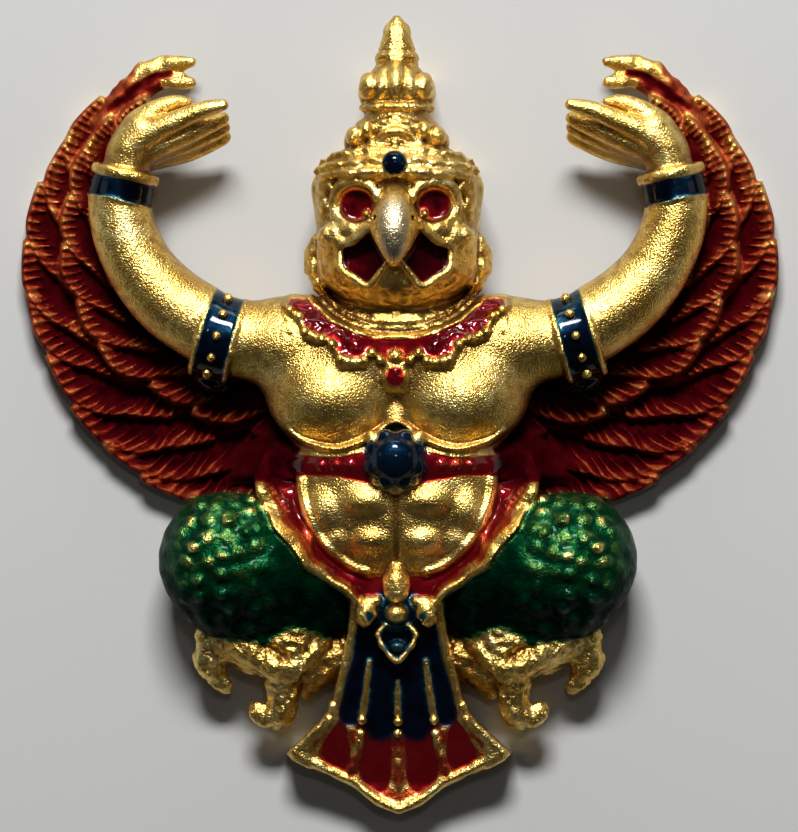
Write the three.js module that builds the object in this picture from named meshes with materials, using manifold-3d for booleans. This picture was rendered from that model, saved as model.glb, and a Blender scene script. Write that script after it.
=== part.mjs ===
import * as THREE from 'three';
import { mergeVertices } from 'three/addons/utils/BufferGeometryUtils.js';
import Module from 'manifold-3d';

// A small gilt garuda: one casting in high relief with a flat back.
// Millimetres. X to the viewer's right, +Y towards the crown, +Z out of the flat back.

// Driving sizes
const figureHeight = 30;     // crown tip to tail tip
const wingEdge = 1.2;        // thickness of the outer feathers at their rims
const covertRise = 0.55;     // how far the inner row of feathers stands above the outer row
const featherDrop = 0.5;     // how far a feather sinks from its rim to the next feather's rim
const tailTipThickness = 1.9;
const armletWidth = 0.95;
const armletRise = 0.3;      // armlet over the arm it clasps
const wristletWidth = 0.6;
const wristletRise = 0.1;
const beltHalfWidth = 0.52;
const collarHalfWidth = 0.46;
const beadRadius = 0.17;
const enamelWall = 0.16;     // half width of the gold ribs between enamel fields

// The casting's faces are thinned to this many
const mostFaces = 9400;

// The figure is carved on its own measure: one unit is a hundredth of its height, and the origin is
// the middle of its back.
const unit = figureHeight / 100;

// Everything reaches a little behind the back, and is cut flat there at the end.
const belowBack = -2;

const wasm = await Module();
wasm.setup();

const inUnits = (millimetres) => millimetres / unit;
const degrees = THREE.MathUtils.degToRad;
const lerp = THREE.MathUtils.lerp;
const point = ([x, y, z]) => new THREE.Vector3(x, y, z);

// Geometry to solid and back
function mergedPositions(geometry) {
  const bare = geometry.clone();
  bare.deleteAttribute('normal');
  bare.deleteAttribute('uv');
  return mergeVertices(bare, 1e-4);
}

function toSolid(geometry) {
  const merged = mergedPositions(geometry);
  return new wasm.Manifold(new wasm.Mesh({
    numProp: 3,
    vertProperties: new Float32Array(merged.attributes.position.array),
    triVerts: new Uint32Array(merged.index.array),
  }));
}

function toGeometry(solid) {
  const { numProp, vertProperties, triVerts } = solid.getMesh();
  const positions = new Float32Array((vertProperties.length / numProp) * 3);
  for (let i = 0; i < positions.length / 3; i += 1) {
    for (let axis = 0; axis < 3; axis += 1) {
      positions[3 * i + axis] = vertProperties[numProp * i + axis];
    }
  }
  const geometry = new THREE.BufferGeometry();
  geometry.setAttribute('position', new THREE.BufferAttribute(positions, 3));
  geometry.setIndex(Array.from(triVerts));
  geometry.computeVertexNormals();
  return geometry;
}

function reshape(geometry, place) {
  const position = geometry.attributes.position;
  for (let i = 0; i < position.count; i += 1) {
    const moved = place(new THREE.Vector3().fromBufferAttribute(position, i));
    position.setXYZ(i, moved.x, moved.y, moved.z);
  }
  return geometry;
}

function turnedInsideOut(geometry) {
  const index = geometry.index.array;
  for (let i = 0; i < index.length; i += 3) {
    [index[i], index[i + 1]] = [index[i + 1], index[i]];
  }
  return geometry;
}

function mirrored(geometry) {
  return turnedInsideOut(reshape(geometry.clone(), (p) => p.setX(-p.x)));
}

const join = (solids) => solids.reduce((all, next) => all.add(next));

// Thinning: edges are drawn together where the surface changes least, until few enough faces are
// left. A corner on the flat back stays on it, and no face is allowed to turn over.
function planeError([a, b, c]) {
  const across = new THREE.Vector3().crossVectors(b.clone().sub(a), c.clone().sub(a));
  const area = across.length() / 2;
  const n = across.normalize();
  const row = [n.x, n.y, n.z, -n.dot(a)];
  return row.flatMap((p) => row.map((q) => p * q * area));
}

function errorAt(form, { x, y, z }) {
  const row = [x, y, z, 1];
  const dot = (i) => row.reduce((sum, q, j) => sum + q * form[4 * i + j], 0);
  return row.reduce((sum, p, i) => sum + p * dot(i), 0);
}

function thinned(geometry, mostFaces) {
  const source = geometry.attributes.position;
  const corners = Array.from({ length: source.count }, (_, i) => (
    new THREE.Vector3().fromBufferAttribute(source, i)));
  const faces = Array.from({ length: geometry.index.count / 3 }, (_, i) => (
    [0, 1, 2].map((j) => geometry.index.getX(3 * i + j))));
  const facesAt = corners.map(() => new Set());
  const errors = corners.map(() => new Array(16).fill(0));
  faces.forEach((face, f) => {
    const form = planeError(face.map((i) => corners[i]));
    face.forEach((i) => {
      facesAt[i].add(f);
      form.forEach((value, k) => { errors[i][k] += value; });
    });
  });
  const around = (i) => new Set([...facesAt[i]].flatMap((f) => faces[f]).filter((j) => j !== i));
  const across = (points) => (
    points[1].clone().sub(points[0]).cross(points[2].clone().sub(points[0])));

  function bestPlace(i, j) {
    const onBack = [i, j].filter((k) => corners[k].z < 1e-6).map((k) => corners[k]);
    const middle = corners[i].clone().lerp(corners[j], 0.5);
    const places = onBack.length === 1 ? onBack : [middle, corners[i], corners[j]];
    const form = errors[i].map((value, k) => value + errors[j][k]);
    const costs = places.map((place) => errorAt(form, place));
    const cost = Math.min(...costs);
    const length = corners[i].distanceToSquared(corners[j]);
    return { i, j, form, place: places[costs.indexOf(cost)], cost: cost + 1e-4 * length };
  }

  function mayCollapse({ i, j, place }) {
    const beside = around(j);
    if ([...around(i)].filter((k) => beside.has(k)).length !== 2) return false;
    return [i, j].every((k) => [...facesAt[k]].every((f) => {
      if (faces[f].includes(i) && faces[f].includes(j)) return true;
      const before = across(faces[f].map((m) => corners[m]));
      const after = across(faces[f].map((m) => (m === k ? place : corners[m])));
      return before.dot(after) > 0.3 * before.length() * after.length() && after.length() > 1e-3;
    }));
  }

  let left = faces.length;
  for (let pass = 0; pass < 60 && left > mostFaces; pass += 1) {
    const edges = faces.flatMap((face) => (face.length === 0 ? [] : [0, 1, 2]
      .map((m) => [face[m], face[(m + 1) % 3]])
      .filter(([i, j]) => i < j)
      .map(([i, j]) => bestPlace(i, j))));
    edges.sort((a, b) => a.cost - b.cost);
    const touched = new Set();
    for (const edge of edges.slice(0, Math.ceil(edges.length / 12))) {
      const { i, j, form, place } = edge;
      if (left > mostFaces && !touched.has(i) && !touched.has(j) && mayCollapse(edge)) {
        [...around(i), ...around(j)].forEach((k) => touched.add(k));
        corners[i].copy(place);
        errors[i] = form;
        for (const f of facesAt[j]) {
          if (faces[f].includes(i)) {
            faces[f].forEach((k) => facesAt[k].delete(f));
            faces[f] = [];
            left -= 1;
          } else {
            faces[f] = faces[f].map((k) => (k === j ? i : k));
            facesAt[i].add(f);
          }
        }
      }
    }
  }
  const kept = new THREE.BufferGeometry();
  const places = corners.flatMap((p) => p.toArray());
  kept.setAttribute('position', new THREE.Float32BufferAttribute(places, 3));
  kept.setIndex(faces.flat());
  return kept;
}

// Simple carved forms, in units
function ball(centre, radii, { turn = 0, sides = 10, rings = 6 } = {}) {
  return new THREE.SphereGeometry(1, sides, rings)
    .rotateX(Math.PI / 2)
    .scale(...radii)
    .rotateZ(degrees(turn))
    .translate(...centre);
}

// A limb: a round bar along a smooth line, its radius changing from point to point.
// Each stop is [x, y, z, radius across, radius in depth].
function limb(stops, { sides = 6, steps = 8, up = [0, 0, 1] } = {}) {
  const line = new THREE.CatmullRomCurve3(stops.map(point), false, 'centripetal');
  const radiusAt = (t, entry) => {
    const place = t * (stops.length - 1);
    const before = Math.min(Math.floor(place), stops.length - 2);
    const value = (stop) => stop[entry] ?? stop[3];
    return lerp(value(stops[before]), value(stops[before + 1]), place - before);
  };
  return reshape(new THREE.CylinderGeometry(1, 1, 1, sides, steps), (p) => {
    const t = THREE.MathUtils.clamp(p.y + 0.5, 0, 1);
    const along = line.getTangent(t);
    const side = new THREE.Vector3().crossVectors(point(up), along).normalize();
    const depth = new THREE.Vector3().crossVectors(along, side);
    return line.getPoint(t)
      .addScaledVector(side, p.z * radiusAt(t, 3))
      .addScaledVector(depth, p.x * radiusAt(t, 4));
  });
}

// A round band that clasps a limb
function band(centre, axis, radius, width, sides = 10) {
  const toAxis = new THREE.Quaternion()
    .setFromUnitVectors(new THREE.Vector3(0, 1, 0), point(axis).normalize());
  return new THREE.CylinderGeometry(radius, radius, width, sides)
    .applyQuaternion(toAxis).translate(...centre);
}

// A plate with a free outline whose front face follows a height rule
function plate(outline, frontAt) {
  const shape = new THREE.Shape(outline.map(([x, y]) => new THREE.Vector2(x, y)));
  const geometry = new THREE.ExtrudeGeometry(shape, { depth: 1, bevelEnabled: false });
  return reshape(mergedPositions(geometry), (p) => p.setZ(p.z > 0.5 ? frontAt(p.x, p.y) : belowBack));
}

// Wings: two rows of curved feathers that fan round a point above the elbow. A feather's rim leaves
// its tip along the wing's outline and then turns inwards; its blade sinks from the rim towards the
// feather before it. Angles run anticlockwise from +X on the viewer's left wing. A tip is its angle,
// its reach from the hub and how fast the rim behind it falls inwards.
const wingHub = { x: -18.6, y: 20.8 };
const outerTips = [
  [134, 27.3, 0.015], [148, 27.4, 0.015], [162, 28.3, 0.015], [177, 28.9, 0.015], [190, 29.0, 0.015],
  [207, 29.3, 0.014], [221, 30.4, 0.014], [233, 31.1, 0.010], [244, 32.2, 0.006],
];
const covertTips = [
  [124, 23.6, 0.015], [136, 24.5, 0.015], [146, 24.7, 0.015], [163, 24.1, 0.015], [178, 23.9, 0.015],
  [196, 23.0, 0.015], [211.5, 22.8, 0.014], [233, 21.4, 0.009], [250, 22.0, 0.006], [270, 23.4, 0.003],
];
const outerRow = { swing: 38, width: 6.4, turnsAfter: 10, bulge: 0.4 };
const covertRow = { swing: 32, width: 5.6, turnsAfter: 7, bulge: 0.3 };

function onWing(angle, reach, z) {
  const turn = degrees(angle);
  return new THREE.Vector3(wingHub.x + reach * Math.cos(turn), wingHub.y + reach * Math.sin(turn), z);
}

function rimReach(tipReach, swung, fall, { turnsAfter, bulge }) {
  const turned = Math.max(swung - turnsAfter, 0);
  return tipReach + bulge * Math.min(swung / turnsAfter, 1) - fall * turned * Math.min(turned, 16);
}

function feather([tipAngle, tipReach, fall], row, rimZ, steps) {
  const blade = new THREE.BoxGeometry(1, 1, 1, steps, 1, 1);
  return reshape(blade, (p) => {
    const t = 0.5 - p.x;
    const across = 0.5 - p.y;
    const swung = row.swing * t;
    const rim = rimReach(tipReach, swung, fall, row);
    const width = row.width * Math.min(0.1 + 2.4 * t, 1);
    const front = rimZ - inUnits(featherDrop) * across;
    return onWing(tipAngle + swung, rim - width * across, p.z > 0 ? front : belowBack);
  });
}

function topFeather(rimZ) {
  return [
    limb([[-36, 38.5, rimZ - 1, 1.6], [-31.5, 44, rimZ - 0.6, 1.3], [-26.3, 44.4, rimZ - 0.4, 0.7]],
      { sides: 6, steps: 5 }),
    limb([[-34, 37, rimZ - 1.4, 1.6], [-29, 41.5, rimZ - 1.2, 1.2], [-26.4, 41.8, rimZ - 1.2, 0.6]],
      { sides: 6, steps: 4 }),
  ];
}

function wing() {
  const rimZ = inUnits(wingEdge);
  const covertZ = rimZ + inUnits(covertRise);
  const webZ = rimZ - inUnits(featherDrop);
  const edge = [];
  for (let angle = 124; angle <= 250; angle += 14) {
    const { x, y } = onWing(angle, 25 + 0.03 * (angle - 124), 0);
    edge.push([x, y]);
  }
  const inner = [[-20, -14], [-8, -14], [-8, 8], [-20, 10], [-30, 15], [-35, 26]];
  const web = plate([...edge, ...inner], () => webZ);
  return [
    web,
    ...outerTips.map((tip) => feather(tip, outerRow, rimZ, 4)),
    ...covertTips.map((tip) => feather(tip, covertRow, covertZ, 3)),
    ...topFeather(rimZ),
  ];
}

// Arms: one bent tube from the shoulder to the wrist, with an armlet and a wristlet
const armStops = [
  [-11.1, 8.0, 7.6, 5.6, 6.6], [-17.1, 9.3, 7.5, 5.0, 6.3], [-20.9, 9.9, 7.2, 4.8, 6.3],
  [-24.5, 11.5, 7.0, 4.7, 6.4], [-28.4, 14.2, 6.8, 4.6, 6.3], [-32.1, 18.3, 6.8, 4.2, 5.8],
  [-34.4, 23.1, 6.8, 4.0, 5.6], [-34.9, 27.1, 7.0, 3.9, 5.3], [-34.5, 31.1, 7.4, 3.7, 4.9],
];
const armlet = { centre: [-22.4, 9.9, 8.6], axis: [-0.965, 0.265, 0], arm: 4.8 };
const wristlet = { centre: [-34.6, 28.2, 8.6], axis: [0.2, 0.98, 0], arm: 3.8 };

function clasp({ centre, axis, arm }, width, rise) {
  const radius = arm + inUnits(rise);
  const direction = point(axis).normalize();
  const half = inUnits(width) / 2;
  const rim = half * 0.4;
  const rimAt = (side) => point(centre).addScaledVector(direction, side * half).toArray();
  return [
    band(centre, axis, radius, 2 * half),
    ...[-1, 1].map((side) => band(rimAt(side), axis, radius + rim * 0.7, 2 * rim)),
  ];
}

function armletBeads() {
  const [x, y, z] = armlet.centre;
  const radius = armlet.arm + inUnits(armletRise);
  const [ax, ay] = armlet.axis;
  return [-60, -30, 0, 30, 60].map((angle) => {
    const turn = degrees(angle);
    const out = radius * Math.sin(turn);
    const centre = [x - ay * out, y + ax * out, z + radius * Math.cos(turn)];
    return ball(centre, Array(3).fill(inUnits(beadRadius)), { sides: 5, rings: 3 });
  });
}

// Hands: fingers side by side in depth, bent inwards over the head, with the thumb above them
function hand() {
  const fingers = [0, 1, 2].map((n) => {
    const z = lerp(12.2, 5.4, n / 2);
    const drop = 1.5 * n;
    return limb([
      [-33.6, 31.5, lerp(9.8, 7.2, n / 2), 2.4], [-30.8, 34.8 - drop * 0.5, z, 1.9, 1.9],
      [-26.6, 36.9 - drop * 0.9, z, 1.4, 1.7], [-21.8, 38.5 - drop, z, 0.8, 1.0],
    ], { sides: 6, steps: 4 });
  });
  return [
    ...fingers,
    limb([[-34.6, 29.5, 8.6, 3.7], [-34.0, 33.4, 9.0, 3.2, 3.8], [-31.2, 37.2, 9.4, 2.1, 3.2],
      [-26.2, 38.9, 9.6, 1.0, 1.4]], { sides: 8, steps: 5 }),
  ];
}

// Trunk
function trunk() {
  const sixPack = [0, 1, 2].map((row) => (
    ball([-3.4, -10.4 - 3.1 * row, 13.0 - 0.8 * row], [3.5, 1.6, 2.8], { sides: 8, rings: 5 })));
  return {
    half: [
      ball([-8.2, 3.0, 9.3], [8.7, 7.3, 7.9], { turn: -12 }),
      ball([-12.4, 9.4, 8.2], [6.8, 5.0, 5.6], { turn: -8, sides: 8, rings: 5 }),
      ...sixPack,
    ],
    middle: [
      ball([0, 5, 7], [13, 9.5, 8.6]),
      ball([0, -8.8, 5.6], [12.4, 11, 9.6], { sides: 12, rings: 8 }),
      plate([[-15, 12], [-15, -14], [-12, -22], [12, -22], [15, -14], [15, 12]], () => 4.5),
    ],
  };
}

// Belt, collar and sash stand on the trunk like strips of metal. A strip's lower edge is cut into
// teeth, and its underside is well inside the body.
const stripDepth = 6;
const beltLine = [[-12.2, -6.6, 6.5], [-9.4, -6.4, 11.6], [-5, -6.2, 14.2], [0, -6.1, 14.9]];
const collarLine = [[-13.6, 14.2, 9], [-10.6, 12.4, 12.2], [-6, 9.4, 15], [0, 8.2, 15.8]];
const sashLine = [[-16.4, -8, 12], [-13.4, -13.8, 15.0], [-8.6, -18.8, 14.8], [0, -21.4, 14.0]];

const acrossBoth = (line) => [...line, ...line.slice(0, -1).reverse().map(([x, y, z]) => [-x, y, z])];

function strip(halfLine, halfWidth, thickness, { teeth = 0, toothLength = 0 } = {}) {
  const line = new THREE.CatmullRomCurve3(acrossBoth(halfLine).map(point), false, 'centripetal');
  const steps = teeth > 0 ? 2 * teeth : 10;
  return reshape(new THREE.BoxGeometry(1, 1, 1, steps, 1, 1), (p) => {
    const t = p.x + 0.5;
    const along = line.getTangent(t);
    const out = new THREE.Vector3(0, 0, 1).addScaledVector(along, -along.z).normalize();
    const down = new THREE.Vector3().crossVectors(along, out);
    const tooth = teeth > 0 && Math.round(t * steps) % 2 === 1 ? toothLength : 0;
    return line.getPoint(t)
      .addScaledVector(down, p.y > 0 ? -halfWidth : halfWidth + tooth)
      .addScaledVector(out, p.z > 0 ? thickness : -stripDepth);
  });
}

// A domed boss with petals round its foot
function flower(centre, radius, rise, petals) {
  const profile = [[0, -3], [1, -3], [1, 0.25], [0.7, 0.55], [0.62, 0.45], [0.55, 0.85], [0, 1]]
    .map(([x, y]) => new THREE.Vector2(x * radius, y * rise));
  const lathe = new THREE.LatheGeometry(profile, 2 * petals);
  return reshape(lathe, (p) => {
    const outwards = Math.min(Math.hypot(p.x, p.z) / radius, 1);
    const petal = 1 + 0.14 * outwards * Math.cos(petals * Math.atan2(p.z, p.x));
    return p.set(p.x * petal, p.y, p.z * petal);
  }).rotateX(Math.PI / 2).translate(...centre);
}

function dress() {
  return [
    strip(beltLine, inUnits(beltHalfWidth), 1.2),
    strip(collarLine, inUnits(collarHalfWidth), 0.8, { teeth: 9, toothLength: 1.6 }),
    strip(sashLine, 2.2, 0.9, { teeth: 11, toothLength: 1.6 }),
    ball([0, 7.0, 16.8], [1.1, 1.1, 0.9], { sides: 6, rings: 4 }),
    ball([0, 5.0, 16.4], [1.4, 1.6, 1.2], { sides: 6, rings: 4 }),
    flower([0, -5.2, 15.2], 3.3, 3.0, 8),
  ];
}

// Head
const eye = { x: -4.8, y: 26.3, z: 17.6, across: 2.05, tall: 1.85 };
const mouth = { x: -3.9, y: 18.9, z: 18, across: 3.0, tall: 2.5 };

function head() {
  const brow = limb([[-8.2, 25.6, 14.2, 0.5, 1.6], [-6.6, 28.6, 15.4, 0.7, 2.6],
    [-3.6, 28.8, 16.9, 0.8, 2.6], [-1.6, 27.4, 18.1, 0.8, 2.2]], { sides: 5, steps: 4 });
  const lip = limb([[-1.2, 22.4, 18.6, 0.7, 2.3], [-4.2, 22.4, 17.3, 0.7, 2.5],
    [-7.2, 20.6, 15.0, 0.7, 2.6], [-7.2, 17.6, 14.6, 0.7, 2.7], [-3.8, 15.9, 16.0, 0.7, 3.1],
    [-0.6, 18.4, 18.4, 0.7, 2.4]], { sides: 5, steps: 8 });
  return {
    half: [
      ball([-9.6, 26.2, 8.6], [1.3, 4.4, 2.6], { sides: 6, rings: 4 }),
      ball([-9.9, 19.2, 7.8], [1.6, 3.8, 2.2], { sides: 6, rings: 4 }),
      ball([-5.4, 19.4, 10.4], [4.2, 5.6, 6.6], { sides: 8, rings: 6 }),
      brow,
      lip,
    ],
    middle: [
      ball([0, 23.2, 10], [10.0, 9.8, 8.9], { sides: 14, rings: 9 }),
      ball([0, 17.2, 11.0], [6.8, 4.4, 6.6], { sides: 10, rings: 6 }),
      plate([[-8, 8], [-9, 18], [-9.4, 28], [-8, 32], [8, 32], [9.4, 28], [9, 18], [8, 8]], () => 7),
      limb([[0, 8, 7.2, 8.2, 6.6], [0, 14.5, 7.8, 8.4, 7.2]], { sides: 12, steps: 1 }),
      limb([[0, 11.9, 7.6, 8.8, 7.4], [0, 13.1, 7.8, 8.8, 7.4]], { sides: 12, steps: 1 }),
    ],
    beak: limb([[0, 29.2, 16.8, 1.1, 1.8], [0, 26.6, 19.0, 1.8, 2.6], [0, 23.6, 20.4, 2.4, 3.4],
      [0, 20.8, 21.4, 1.7, 3.0], [0, 18.9, 20.4, 0.5, 1.6]], { sides: 8, steps: 6 }),
    hollows: [
      ball([eye.x, eye.y, eye.z], [eye.across, eye.tall, 1.9], { sides: 8, rings: 6 }),
      ball([mouth.x, mouth.y, mouth.z], [mouth.across, mouth.tall, 2.4],
        { turn: -14, sides: 8, rings: 6 }),
    ],
  };
}

// Crown: turned tiers on the head's own axis, the lobes of its drum and the bosses of its diadem
const crownDepth = 11.3;
const crownProfile = [
  [0, 28], [9.3, 28.2], [9.9, 29.4], [9.6, 30.5], [8.9, 30.9], [9.1, 31.7], [7.8, 32.7],
  [6.6, 33.5], [5.7, 35.6], [4.5, 37.0], [4.5, 38.4], [3.9, 38.8], [4.5, 40.6], [3.6, 42.4],
  [2.7, 43.2], [2.2, 44.1], [2.45, 44.7], [1.95, 45.3], [0.55, 49.7], [0, 50],
];

function crown() {
  const lathe = new THREE.LatheGeometry(crownProfile.map(([x, y]) => new THREE.Vector2(x, y)), 16);
  const lobed = reshape(lathe, (p) => {
    const inDrum = p.y > 38.8 && p.y < 42.3 ? 0.09 : 0;
    const inArches = p.y > 33 && p.y < 36.5 ? 0.07 : 0;
    const lobe = 1 + (inDrum + inArches) * Math.cos(8 * Math.atan2(p.z, p.x));
    return p.set(p.x * lobe, p.y, p.z * lobe);
  });
  return [
    lobed.translate(0, 0, crownDepth),
    plate([[-4.2, 30], [-4.2, 42], [-1.6, 44.6], [1.6, 44.6], [4.2, 42], [4.2, 30]],
      () => crownDepth - 2),
    ball([0, 31.3, crownDepth + 9.4], [1.6, 1.6, 1.5], { sides: 8, rings: 5 }),
  ];
}

// Legs: the knees point outwards and the feet stand under them on curled claws.
function leg() {
  return [
    limb([[-23.6, -18.6, 8, 6.6, 6.2], [-19.8, -18.2, 8.3, 8.2, 7.6], [-14, -18.6, 7.8, 8.4, 7.4],
      [-8, -20.4, 6.6, 7.4, 6.0]], { sides: 10, steps: 4 }),
    ball([-22.2, -18.4, 8.3], [7.4, 8.2, 7.8], { sides: 12, rings: 7 }),
    ball([-16.5, -24.8, 6.4], [10.6, 4.2, 5.0], { sides: 8, rings: 5 }),
    plate([[-8, -12], [-25, -12.8], [-28.6, -18.4], [-25, -24], [-21.6, -30], [-12, -33.6], [-8, -28]],
      () => 5),
  ];
}

function foot() {
  const claw = (stops) => limb(stops, { sides: 6, steps: 4 });
  return [
    ball([-16.2, -28.6, 5.4], [7.6, 4.0, 4.6], { sides: 8, rings: 5 }),
    ball([-15.4, -31.6, 6.2], [3.6, 3.4, 4.0], { sides: 7, rings: 5 }),
    claw([[-20.5, -27.2, 6, 2.2], [-23.6, -28.6, 6, 1.7], [-24.4, -31.2, 5.4, 1.3],
      [-22.4, -33.2, 4.6, 1.0], [-21.8, -34.6, 4, 0.4]]),
    claw([[-15.4, -32, 7, 2.2], [-16.0, -35.4, 7, 1.8], [-15.8, -38.0, 6, 1.5], [-18.2, -37.2, 5, 0.5]]),
    claw([[-11.6, -29.5, 6.6, 2.2], [-10.2, -32.6, 6.4, 1.7], [-10.6, -34.9, 5.4, 1.2],
      [-12.0, -35.4, 4.4, 0.5]]),
  ];
}

// Tail: a pleated fan that hangs from the belly, with gold ribs between its panels. A place on it is
// given by u, from one side to the other, and v, from its top to its foot.
const tailTop = -20;
const tailTopDepth = 13;
const tailSide = [[0, 5.4], [0.26, 5.7], [0.48, 6.6], [0.7, 8.1], [0.82, 9.7], [1, 14.2]];
const tailFoot = [[0, -50], [0.2, -48.9], [0.4, -46.6], [0.72, -44.5], [1, -42.4]];
const pleat = 0.5;

function alongTable(table, at) {
  const next = Math.max(table.findIndex(([entry]) => entry >= at), 1);
  const [[from, low], [to, high]] = [table[next - 1], table[next]];
  return lerp(low, high, (at - from) / (to - from));
}

function tailFront(y) {
  const down = THREE.MathUtils.clamp((tailTop - y) / 26, 0, 1);
  return lerp(tailTopDepth, inUnits(tailTipThickness), down);
}

function onTail(u, v, rise = 0) {
  const y = lerp(tailTop, alongTable(tailFoot, Math.abs(u)), v);
  return [u * alongTable(tailSide, v), y, tailFront(y) + rise];
}

function tailPanels() {
  return reshape(new THREE.BoxGeometry(1, 1, 1, 8, 6, 1), (p) => {
    const u = THREE.MathUtils.clamp(2 * p.x, -1, 1);
    const v = THREE.MathUtils.clamp(0.5 - p.y, 0, 1);
    const fold = Math.round(4 * (u + 1)) % 2 === 0 ? 0 : -pleat;
    const [x, y, z] = onTail(u, v, fold);
    return new THREE.Vector3(x, y, p.z > 0 ? z : belowBack);
  });
}

function tail() {
  const rib = (places) => {
    const stops = places.map(([u, v]) => [...onTail(u, v, -0.3), inUnits(enamelWall), 1.1]);
    return limb(stops, { sides: 4, steps: places.length - 1 });
  };
  const spoke = (u, from) => rib([0, 0.2, 0.4, 0.6, 0.8, 1].map((t) => [u, lerp(from, 0.97, t)]));
  const flowerDepth = tailTopDepth - 0.6;
  const petal = (x, y, across, tall) => (
    ball([x, y, flowerDepth - 2], [across, tall, 5], { sides: 6, rings: 4 }));
  return {
    half: [
      spoke(-0.97, 0.05),
      spoke(-0.5, 0.4),
      rib([[-0.97, 0.98], [-0.72, 0.98], [-0.4, 0.98], [-0.2, 0.98], [0, 0.98]]),
      petal(-3.5, -24.3, 1.9, 1.6),
    ],
    middle: [
      tailPanels(),
      spoke(0, 0.4),
      petal(0, -20.7, 1.6, 1.9),
      petal(0, -28.3, 1.5, 2.4),
      petal(0, -24.6, 2.0, 2.0),
      ball([0, -24.6, flowerDepth + 3.2], [1.25, 1.25, 1.1], { sides: 6, rings: 4 }),
    ],
  };
}

// The casting: its left half is carved once and mirrored, joined to the middle, and cut flat behind.
function casting() {
  const body = trunk();
  const face = head();
  const fan = tail();
  const leftForms = [
    ...wing(), limb(armStops, { sides: 10, steps: 9 }), ...clasp(armlet, armletWidth, armletRise),
    ...armletBeads(), ...clasp(wristlet, wristletWidth, wristletRise), ...hand(),
    ...body.half, ...face.half, ...leg(), ...foot(), ...fan.half,
  ];
  const middleForms = [...body.middle, ...face.middle, face.beak, ...crown(), ...dress(), ...fan.middle];
  const left = join(leftForms.map(toSolid));
  const right = toSolid(mirrored(toGeometry(left)));
  const eyesAndMouth = join(face.hollows.flatMap((form) => [form, mirrored(form)]).map(toSolid));
  const behind = new THREE.BoxGeometry(200, 200, 20).translate(0, 0, -10);
  const beak = toSolid(face.beak);
  const carved = join([left, right, ...middleForms.map(toSolid)])
    .subtract(eyesAndMouth.subtract(beak))
    .subtract(toSolid(behind));
  // A casting has no sealed pockets: where forms close round one, it is metal.
  return join(carved.decompose().filter((skin) => skin.volume() > 0));
}

const gold = new THREE.MeshStandardMaterial({ color: 0xd6a53c, roughness: 0.35, metalness: 1 });
const surface = thinned(toGeometry(casting()), mostFaces).scale(unit, unit, unit);
surface.computeVertexNormals();
const figure = new THREE.Mesh(surface, gold);
figure.name = 'garuda_figure';

const group = new THREE.Group();
group.add(figure);
export default group;
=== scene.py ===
import math

import bpy
import numpy as np
import openvdb
from mathutils import Matrix, Vector


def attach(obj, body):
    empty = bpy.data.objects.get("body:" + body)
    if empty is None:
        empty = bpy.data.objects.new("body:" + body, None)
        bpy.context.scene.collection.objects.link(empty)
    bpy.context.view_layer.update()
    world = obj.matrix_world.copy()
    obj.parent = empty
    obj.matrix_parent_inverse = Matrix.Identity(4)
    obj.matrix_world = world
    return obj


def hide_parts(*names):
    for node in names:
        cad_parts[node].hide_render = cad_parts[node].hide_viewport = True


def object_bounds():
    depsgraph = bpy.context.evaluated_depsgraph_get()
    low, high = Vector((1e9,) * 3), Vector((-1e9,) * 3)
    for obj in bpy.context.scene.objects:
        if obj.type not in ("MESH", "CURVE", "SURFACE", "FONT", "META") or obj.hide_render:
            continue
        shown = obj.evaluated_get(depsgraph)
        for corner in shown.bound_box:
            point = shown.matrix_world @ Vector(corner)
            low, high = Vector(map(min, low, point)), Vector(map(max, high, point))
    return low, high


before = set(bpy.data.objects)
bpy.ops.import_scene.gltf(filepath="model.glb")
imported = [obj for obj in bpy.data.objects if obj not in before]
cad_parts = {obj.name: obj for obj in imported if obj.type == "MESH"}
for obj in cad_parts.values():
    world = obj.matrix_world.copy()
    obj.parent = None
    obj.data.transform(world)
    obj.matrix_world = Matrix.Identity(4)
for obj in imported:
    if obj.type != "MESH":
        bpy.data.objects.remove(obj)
cad_box = [list(corner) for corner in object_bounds()]

# The relief is modelled in units: one unit is a hundredth of the figure's height. X runs to the
# viewer's right, Y to the crown and Z out of the flat back.
UNIT = (cad_box[1][1] - cad_box[0][1]) / 100
GRAIN = 0.23          # grid step
MARGIN = 2.0          # a form's distances are right this far from it
FAR = 4.0             # the largest distance that the clay holds
HIGHEST = 26.0        # top of the clay

BARE, RED, GREEN, BLUE, THIN_RED = range(5)
WINGS, ARMS, TORSO, HEAD, LEGS, TAIL = range(6)


# Distances

def lesser(a, b, soft):
    """The smaller of two distances, with a fillet of this size where they meet."""
    near = np.maximum(soft - np.abs(a - b), 0) / soft
    return np.minimum(a, b) - near * near * soft / 4


def greater(a, b, soft):
    return -lesser(-a, -b, soft)


def eased(value, low, high):
    share = np.clip((value - low) / (high - low), 0, 1)
    return share * share * (3 - 2 * share)


def even(value):
    """A height, depth or thickness that is the same everywhere."""
    return lambda *place: value


def outline_distance(points, x, y):
    """Distance to a closed outline in the plane, negative inside."""
    nearest, inside = None, None
    for (ax, ay), (bx, by) in zip(points, points[1:] + points[:1]):
        ex, ey = bx - ax, by - ay
        along = np.clip(((x - ax) * ex + (y - ay) * ey) / (ex * ex + ey * ey), 0, 1)
        gap = (x - ax - along * ex) ** 2 + (y - ay - along * ey) ** 2
        crossed = ((ay > y) != (by > y)) & (x < ax + (y - ay) * ex / (ey if ey else 1e-9))
        nearest = gap if nearest is None else np.minimum(nearest, gap)
        inside = crossed if inside is None else inside ^ crossed
    return np.where(inside, -1, 1) * np.sqrt(nearest)


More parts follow.
